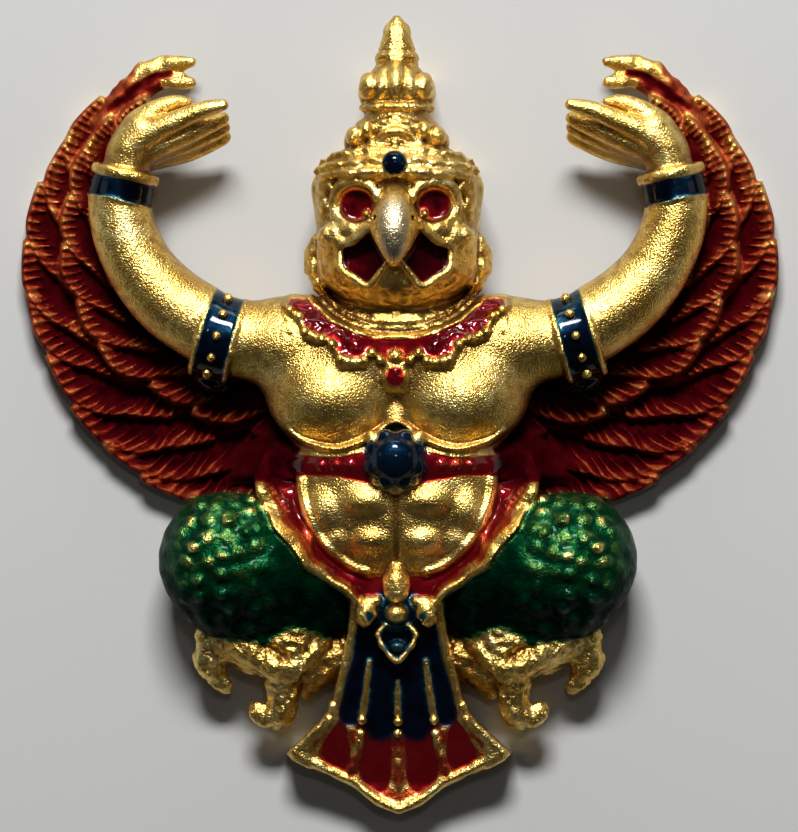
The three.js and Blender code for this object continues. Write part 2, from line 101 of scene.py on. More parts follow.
def lumps(x, y, z, size, seed):
    """Smooth random lumps between 0 and 1, about this size."""
    lattice = np.random.default_rng(seed).random((32, 32, 32)).astype(np.float32)
    cells, parts = [], []
    for place in (x, y, z):
        scaled = place / size
        first = np.floor(scaled).astype(int)
        share = (scaled - first).astype(np.float32)
        cells.append(first)
        parts.append(share * share * (3 - 2 * share))
    total = 0
    for corner in np.ndindex(2, 2, 2):
        weight = 1
        for step, share in zip(corner, parts):
            weight = weight * (share if step else 1 - share)
        spots = [(first + step) % 32 for first, step in zip(cells, corner)]
        total = total + weight * lattice[tuple(spots)]
    return total


def flat_lumps(x, y, size, seed):
    """Lumps that are the same at every depth."""
    return lumps(x, y, 0 * x * y, size, seed)


def smooth_line(stops, steps):
    """Points along a smooth line through the stops, with every entry of a stop carried along."""
    stops = np.array(stops, float)
    padded = np.vstack([2 * stops[0] - stops[1], stops, 2 * stops[-1] - stops[-2]])
    t = np.linspace(0, 1, steps, endpoint=False)[:, None]
    rows = []
    for a, b, c, d in zip(padded, padded[1:], padded[2:], padded[3:]):
        bend = (2 * a - 5 * b + 4 * c - d) * t ** 2 + (3 * b - a - 3 * c + d) * t ** 3
        rows.append(0.5 * (2 * b + (c - a) * t + bend))
    return np.vstack(rows + [stops[-1:]])


# Forms: each gives the box that it fills and the distance to its surface

class Form:
    def __init__(self, low, high, distance):
        self.low = np.array(low, float)
        self.high = np.array(high, float)
        self.distance = distance

    def roughened(self, height, size, seed):
        """The same form with lumps on its surface."""
        def distance(x, y, z):
            return self.distance(x, y, z) - height * (2 * lumps(x, y, z, size, seed) - 1)
        return Form(self.low, self.high, distance)


def ball(centre, radii, turn=0.0):
    cx, cy, cz = centre
    rx, ry, rz = radii
    cos, sin = math.cos(math.radians(turn)), math.sin(math.radians(turn))
    wide = [max(rx, ry)] * 2 + [rz]

    def distance(x, y, z):
        u = (x - cx) * cos + (y - cy) * sin
        v = (y - cy) * cos - (x - cx) * sin
        w = z - cz
        far = np.sqrt((u / rx) ** 2 + (v / ry) ** 2 + (w / rz) ** 2)
        steep = np.sqrt((u / rx ** 2) ** 2 + (v / ry ** 2) ** 2 + (w / rz ** 2) ** 2)
        return far * (far - 1) / np.maximum(steep, 1e-4)
    return Form(np.subtract(centre, wide), np.add(centre, wide), distance)


def bar(stops, deep=1.0, steps=5):
    """A round bar along a smooth line. A stop is x, y, z and the radius there; deep is how much
    deeper than wide it is."""
    line = smooth_line(stops, steps)
    reach = line[:, 3].max()
    wide = np.array([reach, reach, reach * deep])

    def distance(x, y, z):
        found = np.full(np.broadcast(x, y, z).shape, FAR, np.float32)
        for a, b in zip(line, line[1:]):
            edge = max(a[3], b[3]) * np.array([1, 1, deep]) + MARGIN
            low, high = np.minimum(a, b)[:3] - edge, np.maximum(a, b)[:3] + edge
            cut = tuple(slice(*np.searchsorted(axis.ravel(), ends))
                        for axis, ends in zip((x, y, z), zip(low, high)))
            near = (x[cut[0]] - a[0], y[:, cut[1]] - a[1], (z[:, :, cut[2]] - a[2]) / deep)
            span = (b - a)[:3] / np.array([1, 1, deep])
            along = sum(n * s for n, s in zip(near, span)) / max(span @ span, 1e-9)
            along = np.clip(along, 0, 1)
            gap = np.sqrt(sum((n - along * s) ** 2 for n, s in zip(near, span)))
            found[cut] = np.minimum(found[cut], gap - (a[3] + along * (b[3] - a[3])))
        return found
    return Form(line[:, :3].min(0) - wide, line[:, :3].max(0) + wide, distance)


def slab(outline, front, soft=0.4, high=20.0):
    """A plate that stands on the back; front(x, y) is the height of its face."""
    xs, ys = zip(*outline)

    def distance(x, y, z):
        return greater(outline_distance(outline, x, y), (z - front(x, y)) * 0.8, soft)
    return Form((min(xs), min(ys), -2), (max(xs), max(ys), high), distance)


def turned_form(profile, depth, flatness):
    """A form turned on an upright axis at this depth, from a profile of radius and height;
    flatness(y) is its depth over its width."""
    closed = [(0.0, profile[0][1])] + list(profile) + [(0.0, profile[-1][1])]
    widest = max(radius for radius, _ in profile)

    def distance(x, y, z):
        away = np.hypot(x, (z - depth) / flatness(y))
        return outline_distance(closed, away, y + 0 * away) * 0.85
    low, high = profile[0][1], profile[-1][1]
    return Form((-widest, low, depth - widest), (widest, high, depth + widest), distance)


def clasp(centre, axis, radius, half_width, soft=0.15):
    """A flat round band about an axis that lies in the plane."""
    cx, cy, cz = centre
    ax, ay = np.array(axis) / np.hypot(*axis)
    wide = radius + half_width

    def distance(x, y, z):
        along = (x - cx) * ax + (y - cy) * ay
        across = (y - cy) * ax - (x - cx) * ay
        around = np.sqrt(across ** 2 + (z - cz) ** 2) - radius
        return greater(around, np.abs(along) - half_width, soft)
    return Form((cx - wide, cy - wide, cz - wide), (cx + wide, cy + wide, cz + wide), distance)


# The clay

def blurred(block, spread, at_middle):
    """The block after a soft blur. A block that ends at the figure's middle is mirrored there."""
    reach = int(2.5 * spread / GRAIN) + 1
    weights = np.exp(-0.5 * (np.arange(-reach, reach + 1) * GRAIN / spread) ** 2)
    weights = (weights / weights.sum()).astype(np.float32)
    for axis in range(3):
        pads = [(0, 0)] * 3
        pads[axis] = (reach, reach)
        padded = np.pad(block, pads, mode="edge")
        if axis == 0 and at_middle:
            padded[-reach:] = block[-reach - 1:-1][::-1]
        moved = np.moveaxis(padded, axis, 0)
        count = block.shape[axis]
        total = sum(weight * moved[k:k + count] for k, weight in enumerate(weights))
        block = np.moveaxis(total, 0, axis)
    return block


class Clay:
    """The left half of the figure. gold holds distances to the bare metal and face to what shows
    once the enamel is in; both are negative inside."""

    def __init__(self, low, high):
        self.first = np.round(np.array(low) / GRAIN).astype(int)
        shape = np.round(np.array(high) / GRAIN).astype(int) - self.first + 1
        self.gold = np.full(shape, FAR, np.float32)
        self.face = np.full(shape, FAR, np.float32)
        self.glaze = np.zeros(shape, np.uint8)
        self.film = np.zeros(shape, np.float32)
        self.owner = np.zeros(shape, np.uint8)
        self.part = WINGS

    def window(self, low, high):
        cut = []
        for k in range(3):
            start = math.floor((low[k] - MARGIN) / GRAIN) - self.first[k]
            stop = math.ceil((high[k] + MARGIN) / GRAIN) - self.first[k] + 1
            size = self.gold.shape[k]
            cut.append(slice(min(max(start, 0), size), min(max(stop, 0), size)))
        axes = [((np.arange(s.start, s.stop) + self.first[k]) * GRAIN).astype(np.float32)
                for k, s in enumerate(cut)]
        return tuple(cut), np.ix_(*axes)

    def press(self, form, soft=0.5, film=None):
        """Joins a form to the figure. film(x, y, z) is how thick a film of enamel it carries."""
        cut, places = self.window(form.low, form.high)
        away = form.distance(*places)
        for field in (self.gold, self.face):
            field[cut] = lesser(field[cut], away, soft)
        near = away < 0.3 + 0.3 * soft
        self.film[cut][near] = 0 if film is None else np.broadcast_to(film(*places), away.shape)[near]
        self.owner[cut][away < 0.4] = self.part

    def carve(self, form, soft=0.4):
        cut, places = self.window(form.low, form.high)
        away = form.distance(*places)
        for field in (self.gold, self.face):
            field[cut] = greater(field[cut], -away, soft)

    def emboss(self, low, high, height, region, soft=0.3, bare=False):
        """Raises the surface inside a region by height or height(x, y, z), or lowers it if negative."""
        cut, places = self.window(low, high)
        edge = region(*places)
        rise = (height(*places) if callable(height) else height) * (1 - eased(edge, -soft, soft))
        for field in (self.gold, self.face):
            field[cut] -= rise
        if bare:
            self.film[cut][np.broadcast_to(edge < soft, self.gold[cut].shape)] = 0

    def height_at(self, x, y):
        """How high the surface stands over a place."""
        i = int(round(-abs(x) / GRAIN)) - self.first[0]
        j = int(round(y / GRAIN)) - self.first[1]
        filled = np.nonzero(self.face[i, j] < 0)[0]
        k = filled[-1] if len(filled) else 0
        above, below = self.face[i, j, k + 1], self.face[i, j, k]
        return (k + below / (below - above) + self.first[2]) * GRAIN

    def pour(self, colour, low, high, region, spread=0.7, level=0.0, film=None, taper=0.0):
        """Enamel fills the region's hollows: its face is the metal's own, blurred and then raised by
        level, with a film of it on what stands out. region(x, y, z) is the distance to the region's
        edge, negative inside. With a taper the level eases off over that width."""
        cut, places = self.window(low, high)
        edge = np.broadcast_to(region(*places), self.gold[cut].shape)
        at_middle = cut[0].stop == self.gold.shape[0]
        if taper:
            level = level * eased(-edge, 0, taper)
        pool = blurred(self.gold[cut], spread, at_middle) - level
        pool = greater(pool, edge, 0.25)
        self.face[cut] = lesser(self.face[cut], pool, 0.12)
        self.glaze[cut][edge < 0.5] = colour
        self.owner[cut][edge < 0.2] = self.part
        if film is not None:
            self.film[cut][edge < 0.1] = film

    def cell(self, colour, low, high, region, depth, fill, rim=0.35, spread=0.0):
        """Sinks a floor inside the region, a rim's width from its edge, and fills it with enamel."""
        cut, places = self.window(low, high)
        edge = np.broadcast_to(region(*places), self.gold[cut].shape)
        before = self.gold[cut].copy()
        if spread:
            before = blurred(before, spread, cut[0].stop == self.gold.shape[0])
        sunk = depth * (1 - eased(edge, -rim - 0.3, -rim + 0.2))
        self.gold[cut] += sunk
        self.face[cut] += sunk
        pool = greater(before + depth - fill, edge + 0.5 * rim, 0.2)
        self.face[cut] = lesser(self.face[cut], pool, 0.2)
        self.glaze[cut][edge < 0.15 - 0.5 * rim] = colour
        self.owner[cut][edge < 0.2] = self.part
        self.film[cut][edge < 0.1] = 0

    def stain(self, low, high, film, region, soft=0.5):
        """Deepens the film inside a region, softly from its edge. film is a depth or depth(x, y, z)."""
        cut, places = self.window(low, high)
        depth = film(*places) if callable(film) else film
        self.film[cut] = np.maximum(self.film[cut], depth * eased(-region(*places), 0, soft))

    def relabel(self, colour, low, high, region):
        cut, places = self.window(low, high)
        self.glaze[cut][np.broadcast_to(region(*places) < 0, self.gold[cut].shape)] = colour

    def fill(self, colour, form, soft=0.3):
        """Enamel of this form, seen wherever the metal leaves room for it."""
        cut, places = self.window(form.low, form.high)
        away = form.distance(*places)
        self.face[cut] = lesser(self.face[cut], away, soft)
        self.glaze[cut][away < 0.5] = colour
        self.owner[cut][away < 0.5] = self.part


def within(outline, low=-99.0, high=99.0):
    """A region for pour: inside an outline and between two depths."""
    def region(x, y, z):
        edge = outline_distance(outline, x, y)
        return np.maximum(edge, np.maximum(low - z, z - high))
    return region


def everywhere(x, y, z):
    """A region without an edge."""
    return -4 + 0 * z


def grown(region, by):
    """The region with its edge moved outwards by this much."""
    return lambda x, y, z: region(x, y, z) - by


def together(regions):
    """Several regions as one."""
    return lambda x, y, z: np.minimum.reduce([region(x, y, z) for region in regions])


def strip(stops, steps=4):
    """A region along a smooth line in the plane. A stop is x, y and the half width there."""
    line = smooth_line(stops, steps)

    def region(x, y, z):
        found = None
        for (ax, ay, aw), (bx, by, bw) in zip(line, line[1:]):
            ex, ey = bx - ax, by - ay
            along = np.clip(((x - ax) * ex + (y - ay) * ey) / (ex * ex + ey * ey), 0, 1)
            gap = np.hypot(x - ax - along * ex, y - ay - along * ey) - (aw + along * (bw - aw))
            found = gap if found is None else np.minimum(found, gap)
        return found
    return region


def oval(centre, radii, turn=0.0):
    """A region inside an ellipse."""
    cos, sin = math.cos(math.radians(turn)), math.sin(math.radians(turn))

    def region(x, y, z):
        u = (x - centre[0]) * cos + (y - centre[1]) * sin
        v = (y - centre[1]) * cos - (x - centre[0]) * sin
        return (np.hypot(u / radii[0], v / radii[1]) - 1) * min(radii)
    return region


def box_around(stops, low):
    """The box that an emboss along these places needs, from this depth up to the highest place."""
    xs, ys = [stop[0] for stop in stops], [stop[1] for stop in stops]
    return (min(xs) - 1, min(ys) - 1, low), (min(max(xs) + 1, 0.0), max(ys) + 1, HIGHEST)


def ridge(clay, stops, height, low=4.0, steps=4):
    """A rounded line raised on the surface."""
    widest = max(stop[2] for stop in stops)
    clay.emboss(*box_around(stops, low), height, strip(stops, steps), widest, True)


def unevenness(height, size, seed):
    """A height for emboss: lumps of about this size."""
    return lambda x, y, z: height * (2 * lumps(x, y, z, size, seed) - 1)


def press_balls(clay, rows):
    """Presses smooth balls one after another. A row is centre, radii, turn and fillet."""
    for centre, radii, turn, soft in rows:
        clay.press(ball(centre, radii, turn), soft)


def press_nuggets(clay, rows):
    """Presses rough balls one after another. A row is centre, radii, roughness, seed and fillet."""
    for centre, radii, rough, seed, soft in rows:
        clay.press(ball(centre, radii).roughened(rough, 0.8, seed), soft)


# Wings: two rows of feathers fan round a hub above the elbow. A feather's rim leaves its tip along
# the wing's edge and turns inwards behind it, and its barbs run from the rim under the next feather.
HUB = (-18.6, 20.8)
OUTER_TIPS = [
    (134, 27.3, 0.015), (148, 27.4, 0.015), (162, 28.3, 0.015), (177, 28.8, 0.015),
    (190, 28.92, 0.015), (207, 29.3, 0.014), (221, 30.4, 0.014), (233, 31.1, 0.010),
    (244, 32.2, 0.006),
]
COVERT_TIPS = [
    (124, 23.6, 0.015), (136, 24.5, 0.015), (146, 24.7, 0.015), (163, 24.1, 0.015),
    (178, 23.9, 0.015), (196, 23.0, 0.015), (211.5, 22.8, 0.014), (233, 21.4, 0.009),
    (250, 22.0, 0.006), (270, 23.4, 0.003),
]
OUTER_ROW = {"swing": 38, "width": 6.4, "turns": 10, "bulge": 0.4, "pitch": 1.0}
COVERT_ROW = {"swing": 32, "width": 5.6, "turns": 7, "bulge": 0.3, "pitch": 0.85}
FEATHER_DROP = 1.67
RIM_HEIGHT = 4.0
COVERT_HEIGHT = 5.83


def from_hub(x, y):
    angle = np.degrees(np.arctan2(y - HUB[1], x - HUB[0])) % 360
    return angle, np.hypot(x - HUB[0], y - HUB[1])


def rim_reach(reach, swung, fall, row):
    turned = np.maximum(swung - row["turns"], 0)
    bulge = row["bulge"] * np.clip(swung / row["turns"], 0, 1)
    return reach + bulge - fall * turned * np.minimum(turned, 16)


def barbs(x, y, along, inset, pitch, lean):
    """Pointed ridges, from 0 to 1: each is wide at the rim and tapers away under the next feather."""
    wander = 0.8 * pitch * flat_lumps(x, y, 2.4, 71)
    place = (along + wander + lean * inset) / pitch
    side = 2 * np.abs(place - np.round(place))
    long = 0.6 + pitch * (0.9 + 0.9 * flat_lumps(x, y, 1.7, 72))
    wide = np.clip(1.3 - inset / long, 0.02, 1.2)
    strong = 0.35 + 0.65 * flat_lumps(x, y, 1.1, 76)
    return strong * eased(1 - side / wide, 0.0, 0.9) * eased(inset, 0.0, 0.5)


def inner_reach(turn):
    """How near its hub a feather may come before it would show inside the arm."""
    return np.interp(turn, [120, 200, 233, 270], [16.5, 15, 12, 9])


class Feather:
    """A feather of a row. A place on it lies inset from its rim and along from its tip."""

    def __init__(self, tip, row, rim_height):
        self.angle, self.reach, self.fall = tip
        self.row = row
        self.rim_height = rim_height
        self.pitch = row["pitch"] * np.interp(self.angle, [134, 190, 233, 250], [1.0, 1.25, 1.75, 1.9])
        self.lean = np.interp(self.angle, [134, 190, 233], [0.2, 0.0, -0.8])

    def layout(self, x, y):
        turn, away = from_hub(x, y)
        swung = (turn - self.angle + 180) % 360 - 180
        inset = rim_reach(self.reach, swung, self.fall, self.row) - away
        return swung, np.radians(swung) * self.reach, inset

    def distance(self, x, y, z):
        swung, along, inset = self.layout(x, y)
        length = math.radians(self.row["swing"]) * self.reach
        width = self.row["width"] * np.clip(0.16 + 2.2 * swung / self.row["swing"], 0.05, 1)
        sides = np.maximum(np.maximum(-inset, inset - width), np.maximum(-along, along - length))
        turn, away = from_hub(x, y)
        sides = np.maximum(sides, inner_reach(turn) - away)
        teeth = barbs(x, y, along, inset, self.pitch, self.lean)
        share = np.clip(inset / self.row["width"], 0, 1.2)
        rim = 0.45 * np.exp(-((inset - 0.6) / 0.5) ** 2) * (0.5 + 0.8 * flat_lumps(x, y, 0.9, 78))
        front = self.rim_height - 0.6 - FEATHER_DROP * share ** 0.9 + rim + 0.8 * teeth
        return greater(sides, (z - front) * 0.85, 0.5)

    def film(self, x, y, z):
        """The enamel is thin on the rim and the barbs, and thinner towards the crown's end and deeper low
        down: painted light, lighter at the top and darker at the bottom.
        """
        _, along, inset = self.layout(x, y)
        teeth = barbs(x, y, along, inset, self.pitch, self.lean)
        crest = 0.12 + 0.2 * eased(inset, 1.5, 3.5)
        groove = 0.42 + 0.9 * eased(inset, 1.2, 3.0)
        edge = 0.9 * (1 - eased(inset, 0.4, 1.0))
        raised = np.maximum(eased(teeth, 0.0, 0.38), edge * (0.5 + 0.5 * lumps(x, y, z, 1.1, 77)))
        tip = 1 - eased(along, 0.4, 2.6)
        # Painted light: thinner film towards the top and deeper film low down.
        painted_light = (1 - 0.5 * tip) * (1 - 0.45 * eased(y, 16, 34)) * (1 + 0.7 * eased(-y, -12, 4))
        return (groove + (crest - groove) * raised) * painted_light

    def form(self):
        turns = np.radians(np.linspace(self.angle, self.angle + self.row["swing"], 8))
        reaches = [self.reach + 1, self.reach - 9]
        xs = HUB[0] + np.outer(reaches, np.cos(turns))
        ys = HUB[1] + np.outer(reaches, np.sin(turns))
        return Form((xs.min(), ys.min(), -2), (xs.max(), ys.max(), self.rim_height + 1), self.distance)


def wing_web():
    """The wing's floor between the feathers and under the arm."""
    edge = [(HUB[0] + (24 + 0.03 * (a - 124)) * math.cos(math.radians(a)),
             HUB[1] + (24 + 0.03 * (a - 124)) * math.sin(math.radians(a)))
            for a in range(124, 251, 7)]
    inner = [(-20, -14), (-8, -14), (-8, 8), (-20, 9), (-25, 11.5), (-28.6, 14.2), (-32, 18), (-34.2, 22.6),
             (-35, 26.8), (-35, 32)]
    return slab(edge + inner, even(2.5), high=4)


def tongue_film(x, y, z):
    """Thin red that deepens in patches towards the wing."""
    return 0.015 + 0.14 * eased(-x, 31.0, 34.5) * lumps(x, y, z, 1.2, 75) * 1.6


def press_tongues(clay):
    """The rough tongues at the wing's top: a gold one with a lobe, and a red one under it."""
    clay.press(bar([(-37.5, 36.5, 3.4, 1.2), (-34.5, 40.8, 3.6, 1.3), (-31.2, 43.7, 3.8, 1.2),
                    (-28.2, 44.3, 4.0, 0.95), (-26.1, 44.4, 4.1, 0.6)]).roughened(0.3, 1.0, 73), 0.4,
               tongue_film)
    clay.press(ball((-32.4, 43.6, 3.8), (0.8, 1.0, 1.0)).roughened(0.15, 0.8, 70), 0.3, tongue_film)
    clay.press(bar([(-35.6, 37.5, 3.4, 0.9), (-32.3, 40.5, 3.6, 1.15), (-30.1, 41.8, 3.6, 1.0)])
               .roughened(0.3, 0.9, 74), 0.2, lambda x, y, z: 0.06 + 0.5 * lumps(x, y, z, 0.9, 79))
    clay.press(bar([(-30.2, 43.0, 3.6, 0.8), (-28.4, 42.3, 3.7, 1.15), (-26.3, 41.8, 3.7, 0.75)])
               .roughened(0.2, 0.9, 68), 0.5, even(0.02))
    crease = strip([(-36.4, 38.6, 0.3), (-33.4, 40.9, 0.4), (-30.6, 42.6, 0.35), (-28.8, 43.0, 0.2)])
    clay.stain((-38, 37, 2), (-28, 44, 8), 0.6, grown(crease, 0.3), 0.5)


def press_feathers(clay, tips, row, rim_height):
    for tip in tips:
        feather = Feather(tip, row, rim_height)
        clay.press(feather.form(), 0.25, feather.film)


def press_wings(clay):
    clay.part = WINGS
    clay.press(wing_web(), 0.5, even(0.5))
    press_feathers(clay, OUTER_TIPS, OUTER_ROW, RIM_HEIGHT)
    press_tongues(clay)
    press_feathers(clay, COVERT_TIPS, COVERT_ROW, COVERT_HEIGHT)
    clay.pour(THIN_RED, (-49, -16, -1), (-6, 46, 8), everywhere, 0.3, -0.04)


# Legs: scaled thighs and knees in green, and bare rough feet with curled claws

def scales(x, y, size, seed):
    """Rows of small domes, each a little out of place."""
    rng = np.random.default_rng(seed)
    shift = rng.uniform(-0.22, 0.22, (64, 64, 2))
    height = rng.uniform(0.55, 1.0, (64, 64))
    best = np.zeros(np.broadcast(x, y).shape, np.float32)
    row = np.floor(y / size).astype(int)
    for step in (-1, 0, 1):
        r = row + step
        column = np.floor(x / size - 0.5 * (r % 2)).astype(int)
        for side in (-1, 0, 1):
            c = column + side
            jx, jy = shift[r % 64, c % 64, 0], shift[r % 64, c % 64, 1]
            dx = x / size - (c + 0.5 + 0.5 * (r % 2) + jx)
            dy = y / size - (r + 0.5 + jy)
            dome = np.clip(1 - (dx ** 2 + (dy * 1.15) ** 2) / 0.26, 0, 1)
            best = np.maximum(best, dome * height[r % 64, c % 64])
    return best


THIGH = [(-22, -17.6, 8.2, 7.0), (-17, -18.0, 8.1, 7.6), (-12, -19.0, 6.4, 7.4), (-6, -20.6, 5.0, 6.4)]


def thigh_scales(x, y):
    return scales(x + 0.35 * y, y - 0.2 * x, 2.4, 5)


def thigh_top(x, y):
    """How high the thigh stands over a place."""
    xs, ys, zs, radii = zip(*THIGH)
    middle, depth, reach = (np.interp(x, xs, values) for values in (ys, zs, radii))
    return depth + 0.95 * reach * np.sqrt(np.clip(1 - ((y - middle) / reach) ** 2, 0, 1))


def thigh(scaled):
    """Knee and thigh as one form, with or without the scales that stand on it."""
    knee = ball((-22.0, -18.2, 8.1), (7.7, 8.4, 7.8))
    upper = bar(THIGH, 0.95)
    calf = ball((-15.9, -24.8, 6.6), (9.8, 5.0, 4.6), -4)

    def distance(x, y, z):
        smooth = lesser(lesser(knee.distance(x, y, z), upper.distance(x, y, z), 2.0),
                        calf.distance(x, y, z), 2.2)
        if not scaled:
            return smooth
        front = eased(z, 7.0, 11.0) * (1 - 0.95 * eased(x, -17.0, -13.0)) * (1 - 0.6 * eased(-x, 25, 28.5))
        uneven = 1.1 * (lumps(x, y, z, 1.1, 6) - 0.5)
        return smooth - front * (1.1 * thigh_scales(x, y) + uneven) + 0.28
    return Form((-30.5, -29.5, -2), (0, -9.5, 17), distance)


def thigh_film(x, y, z):
    """The green lies deeper beside the tail and round the knee's outer side, and darkens low down: painted
    shade, darker towards the bottom.
    """
    patches = 0.04 + 0.16 * eased(lumps(x, y, z, 2.2, 8), 0.35, 0.7)
    # Painted shade: the film deepens low down, so the thigh darkens towards the bottom, less on the scales'
    # tops.
    deep = 1.1 * eased(-y, 17, 26) * (1 - 0.8 * eased(thigh_scales(x, y), 0.3, 0.75))
    return patches + deep + 0.9 * eased(x, -18, -12.5) + 0.3 * eased(-x, 25.5, 28.5)


def press_legs(clay):
    clay.part = LEGS
    clay.press(slab([(-8, -12), (-25, -12.8), (-28.6, -18.4), (-25, -24), (-21.6, -30),
                     (-12, -33.6), (-8, -28)], even(5.0), high=6))
    clay.press(thigh(True), 0.4)
    skin = thigh(False)
    clay.pour(GREEN, skin.low, skin.high, grown(skin.distance, 0.9), 0.5, 0.3, 0.05)
    clay.stain(skin.low, skin.high, thigh_film, grown(skin.distance, 1.4))
    press_feet(clay)


def press_feet(clay):
    """A bare foot, hammered all over: the shin, two ridges that meet over the middle claw, three claws."""
    shapes = [ball((-13.2, -27.7, 6.6), (4.4, 3.4, 4.5)), ball((-17.6, -29.4, 5.4), (5.2, 3.0, 4.4), -8),
              ball((-11.2, -30.8, 4.8), (4.2, 3.7, 4.0)), ball((-8.2, -30.0, 4.6), (3.0, 3.2, 3.8)),
              bar([(-23.6, -27.8, 6.0, 1.9), (-21.2, -28.2, 7.4, 1.7), (-18.2, -29.4, 8.6, 1.6),
                   (-15.2, -31.4, 9.0, 1.7)]),
              bar([(-8.6, -27.2, 7.0, 0.9), (-10.4, -29.2, 8.6, 1.2), (-13.2, -31.6, 9.0, 1.6)]),
              bar([(-20.6, -28.8, 5.6, 2.0), (-23.3, -29.4, 5.8, 2.0), (-23.5, -31.2, 5.2, 1.8),
                   (-22.4, -33.2, 4.6, 1.25), (-21.6, -34.4, 4.0, 0.6)]),
              bar([(-14.5, -31.4, 6.6, 2.7), (-14.4, -34.6, 6.4, 2.05), (-14.6, -37.0, 5.8, 1.7),
                   (-15.2, -38.7, 5.0, 0.9)]),
              bar([(-14.8, -36.8, 6.0, 1.5), (-16.6, -37.7, 5.8, 1.25), (-17.7, -37.0, 5.8, 1.15)]),
              bar([(-12.2, -31.4, 5.4, 1.6), (-11.4, -33.4, 4.8, 1.5), (-11.6, -34.6, 4.2, 0.9)])]
    for seed, shape in enumerate(shapes, 11):
        clay.press(shape.roughened(0.3, 1.3, seed).roughened(0.22, 0.6, seed + 40), 0.5)


# Tail: a fan of pleats. u runs across it and v down it.
TAIL_SIDE = [(0, 5.4), (0.26, 5.7), (0.48, 6.6), (0.7, 8.1), (0.82, 9.7), (1, 14.2)]
TAIL_LEAF = [(-7.4, -37.9), (-8.5, -39.4), (-9.9, -41.8), (-10.2, -44.0), (-9.0, -45.2), (-7.4, -45.4),
             (-6.1, -44.6), (-5.9, -42.0), (-6.2, -39.6), (-6.7, -38.2)]
TAIL_FIELD = [(-5.5, -38.6), (-5.1, -41.5), (-5.2, -44.4), (-4.6, -46.2), (-2.6, -47.6), (-1.4, -47.0),
              (-0.8, -45.0), (-0.7, -42.0), (-0.6, -39.8), (-3, -38)]
TAIL_CORNER = [(-8.8, -38.6), (-11.0, -42.0), (-10.9, -45.0), (-13.8, -43.2), (-11.2, -40.6)]
TAIL_FOOT = [(0, -50), (0.2, -48.9), (0.4, -46.6), (0.72, -44.5), (1, -42.4)]


def on_tail(u, v):
    y = -20 + v * (np.interp(abs(u), *zip(*TAIL_FOOT)) + 20)
    return u * np.interp(v, *zip(*TAIL_SIDE)), y


def tail_height(y):
    return 12.2 - 6.67 * np.clip((-20 - y) / 26, 0, 1)


def tail_line(places, radius, rise=0.0):
    """Stops of a bar laid on the tail through these places."""
    return [(*on_tail(u, v), tail_height(on_tail(u, v)[1]) + rise, radius) for u, v in places]


def press_tail(clay):
    clay.part = TAIL
    sides = [on_tail(-1, v) for v in (0, 0.13, 0.26, 0.37, 0.48, 0.59, 0.7, 0.76, 0.82, 0.91, 1)]
    foot = [on_tail(-u, 1) for u in (0.86, 0.72, 0.56, 0.4, 0.3, 0.2, 0.1, 0)]
    clay.press(slab(sides + foot + [(0.5, -20)], lambda x, y: tail_height(y), 0.5, 13), 0.6)
    upper = [on_tail(-0.95, v) for v in (0, 0.13, 0.26, 0.37, 0.48, 0.59)]
    upper += [(-7.5, -36.8), (-7.5, -38.0), (-6.8, -38.8), (-5.4, -38.9), (-4.6, -38.4), (-3.6, -40.4),
              (-2.2, -40.9), (-0.8, -40.3), (0, -39.6), (3, -39.6), (3, -20)]
    floor = together([within(outline, 2.0) for outline in (upper, TAIL_LEAF, TAIL_FIELD)])
    box = ((-15, -51, -1), (0.5, -18, 15))
    clay.emboss(*box, 0.3, within(TAIL_CORNER, 2.0), 0.5)
    clay.relabel(RED, (-15, -51, 2), (0.5, -40, 13), lambda x, y, z: y + 38.6 + 0 * x + 0 * z)
    clay.cell(RED, *box, floor, 0.65, 0.55, 0.1)
    clay.relabel(BLUE, *box, within([(x, y - 0.05) for x, y in upper], 2.0))
    clay.stain(*box, 0.9, within([(x, y + 0.2) for x, y in upper], 2))
    clay.stain(*box, tail_wash, lambda x, y, z: y + 39.2)
    press_tail_ribs(clay)


def tail_wash(x, y, z):
    """Patches of thin red on the tail's lower gold."""
    patches = 0.13 * eased(lumps(x, y, z, 1.5, 84), 0.35, 0.7)
    specks = 0.12 * eased(lumps(x, y, z, 0.7, 85), 0.45, 0.8)
    top = eased(z - tail_height(y), -1.0, -0.5)
    return (patches + specks) * (1 - eased(np.abs(x), 11.0, 13.2)) * top


def press_tail_ribs(clay):
    edge = [(-0.97, v) for v in (0.02, 0.15, 0.3, 0.45, 0.6, 0.7, 0.8, 0.9, 0.97)]
    clay.press(bar(tail_line(edge, 0.5, 0)).roughened(0.08, 0.8, 81), 0.3)
    foot = [(-u, 0.975) for u in (0.96, 0.8, 0.64, 0.5, 0.4, 0.28, 0.14, 0)]
    clay.press(bar(tail_line(foot, 0.5, -0.1)).roughened(0.1, 0.8, 82), 0.3)
    for (x, top), (low_x, low) in (((-3.5, -30.6), (-4.4, -37.4)), ((0, -33.4), (0, -37.4))):
        clay.press(bar([(x, top, tail_height(top) - 0.2, 0.28),
                        (low_x, low, tail_height(low) - 0.2, 0.36)], steps=2).roughened(0.12, 0.8, 83), 0.25)
    for places in (((-4.8, -40.4), (-5.3, -42.4), (-6.1, -44.6)), ((0, -40.4), (0, -43.4), (0, -46.4))):
        rib = bar([(x, y, tail_height(y) - 0.15, 0.4) for x, y in places]).roughened(0.18, 0.7, 86)
        clay.press(rib, 0.3, tail_wash)


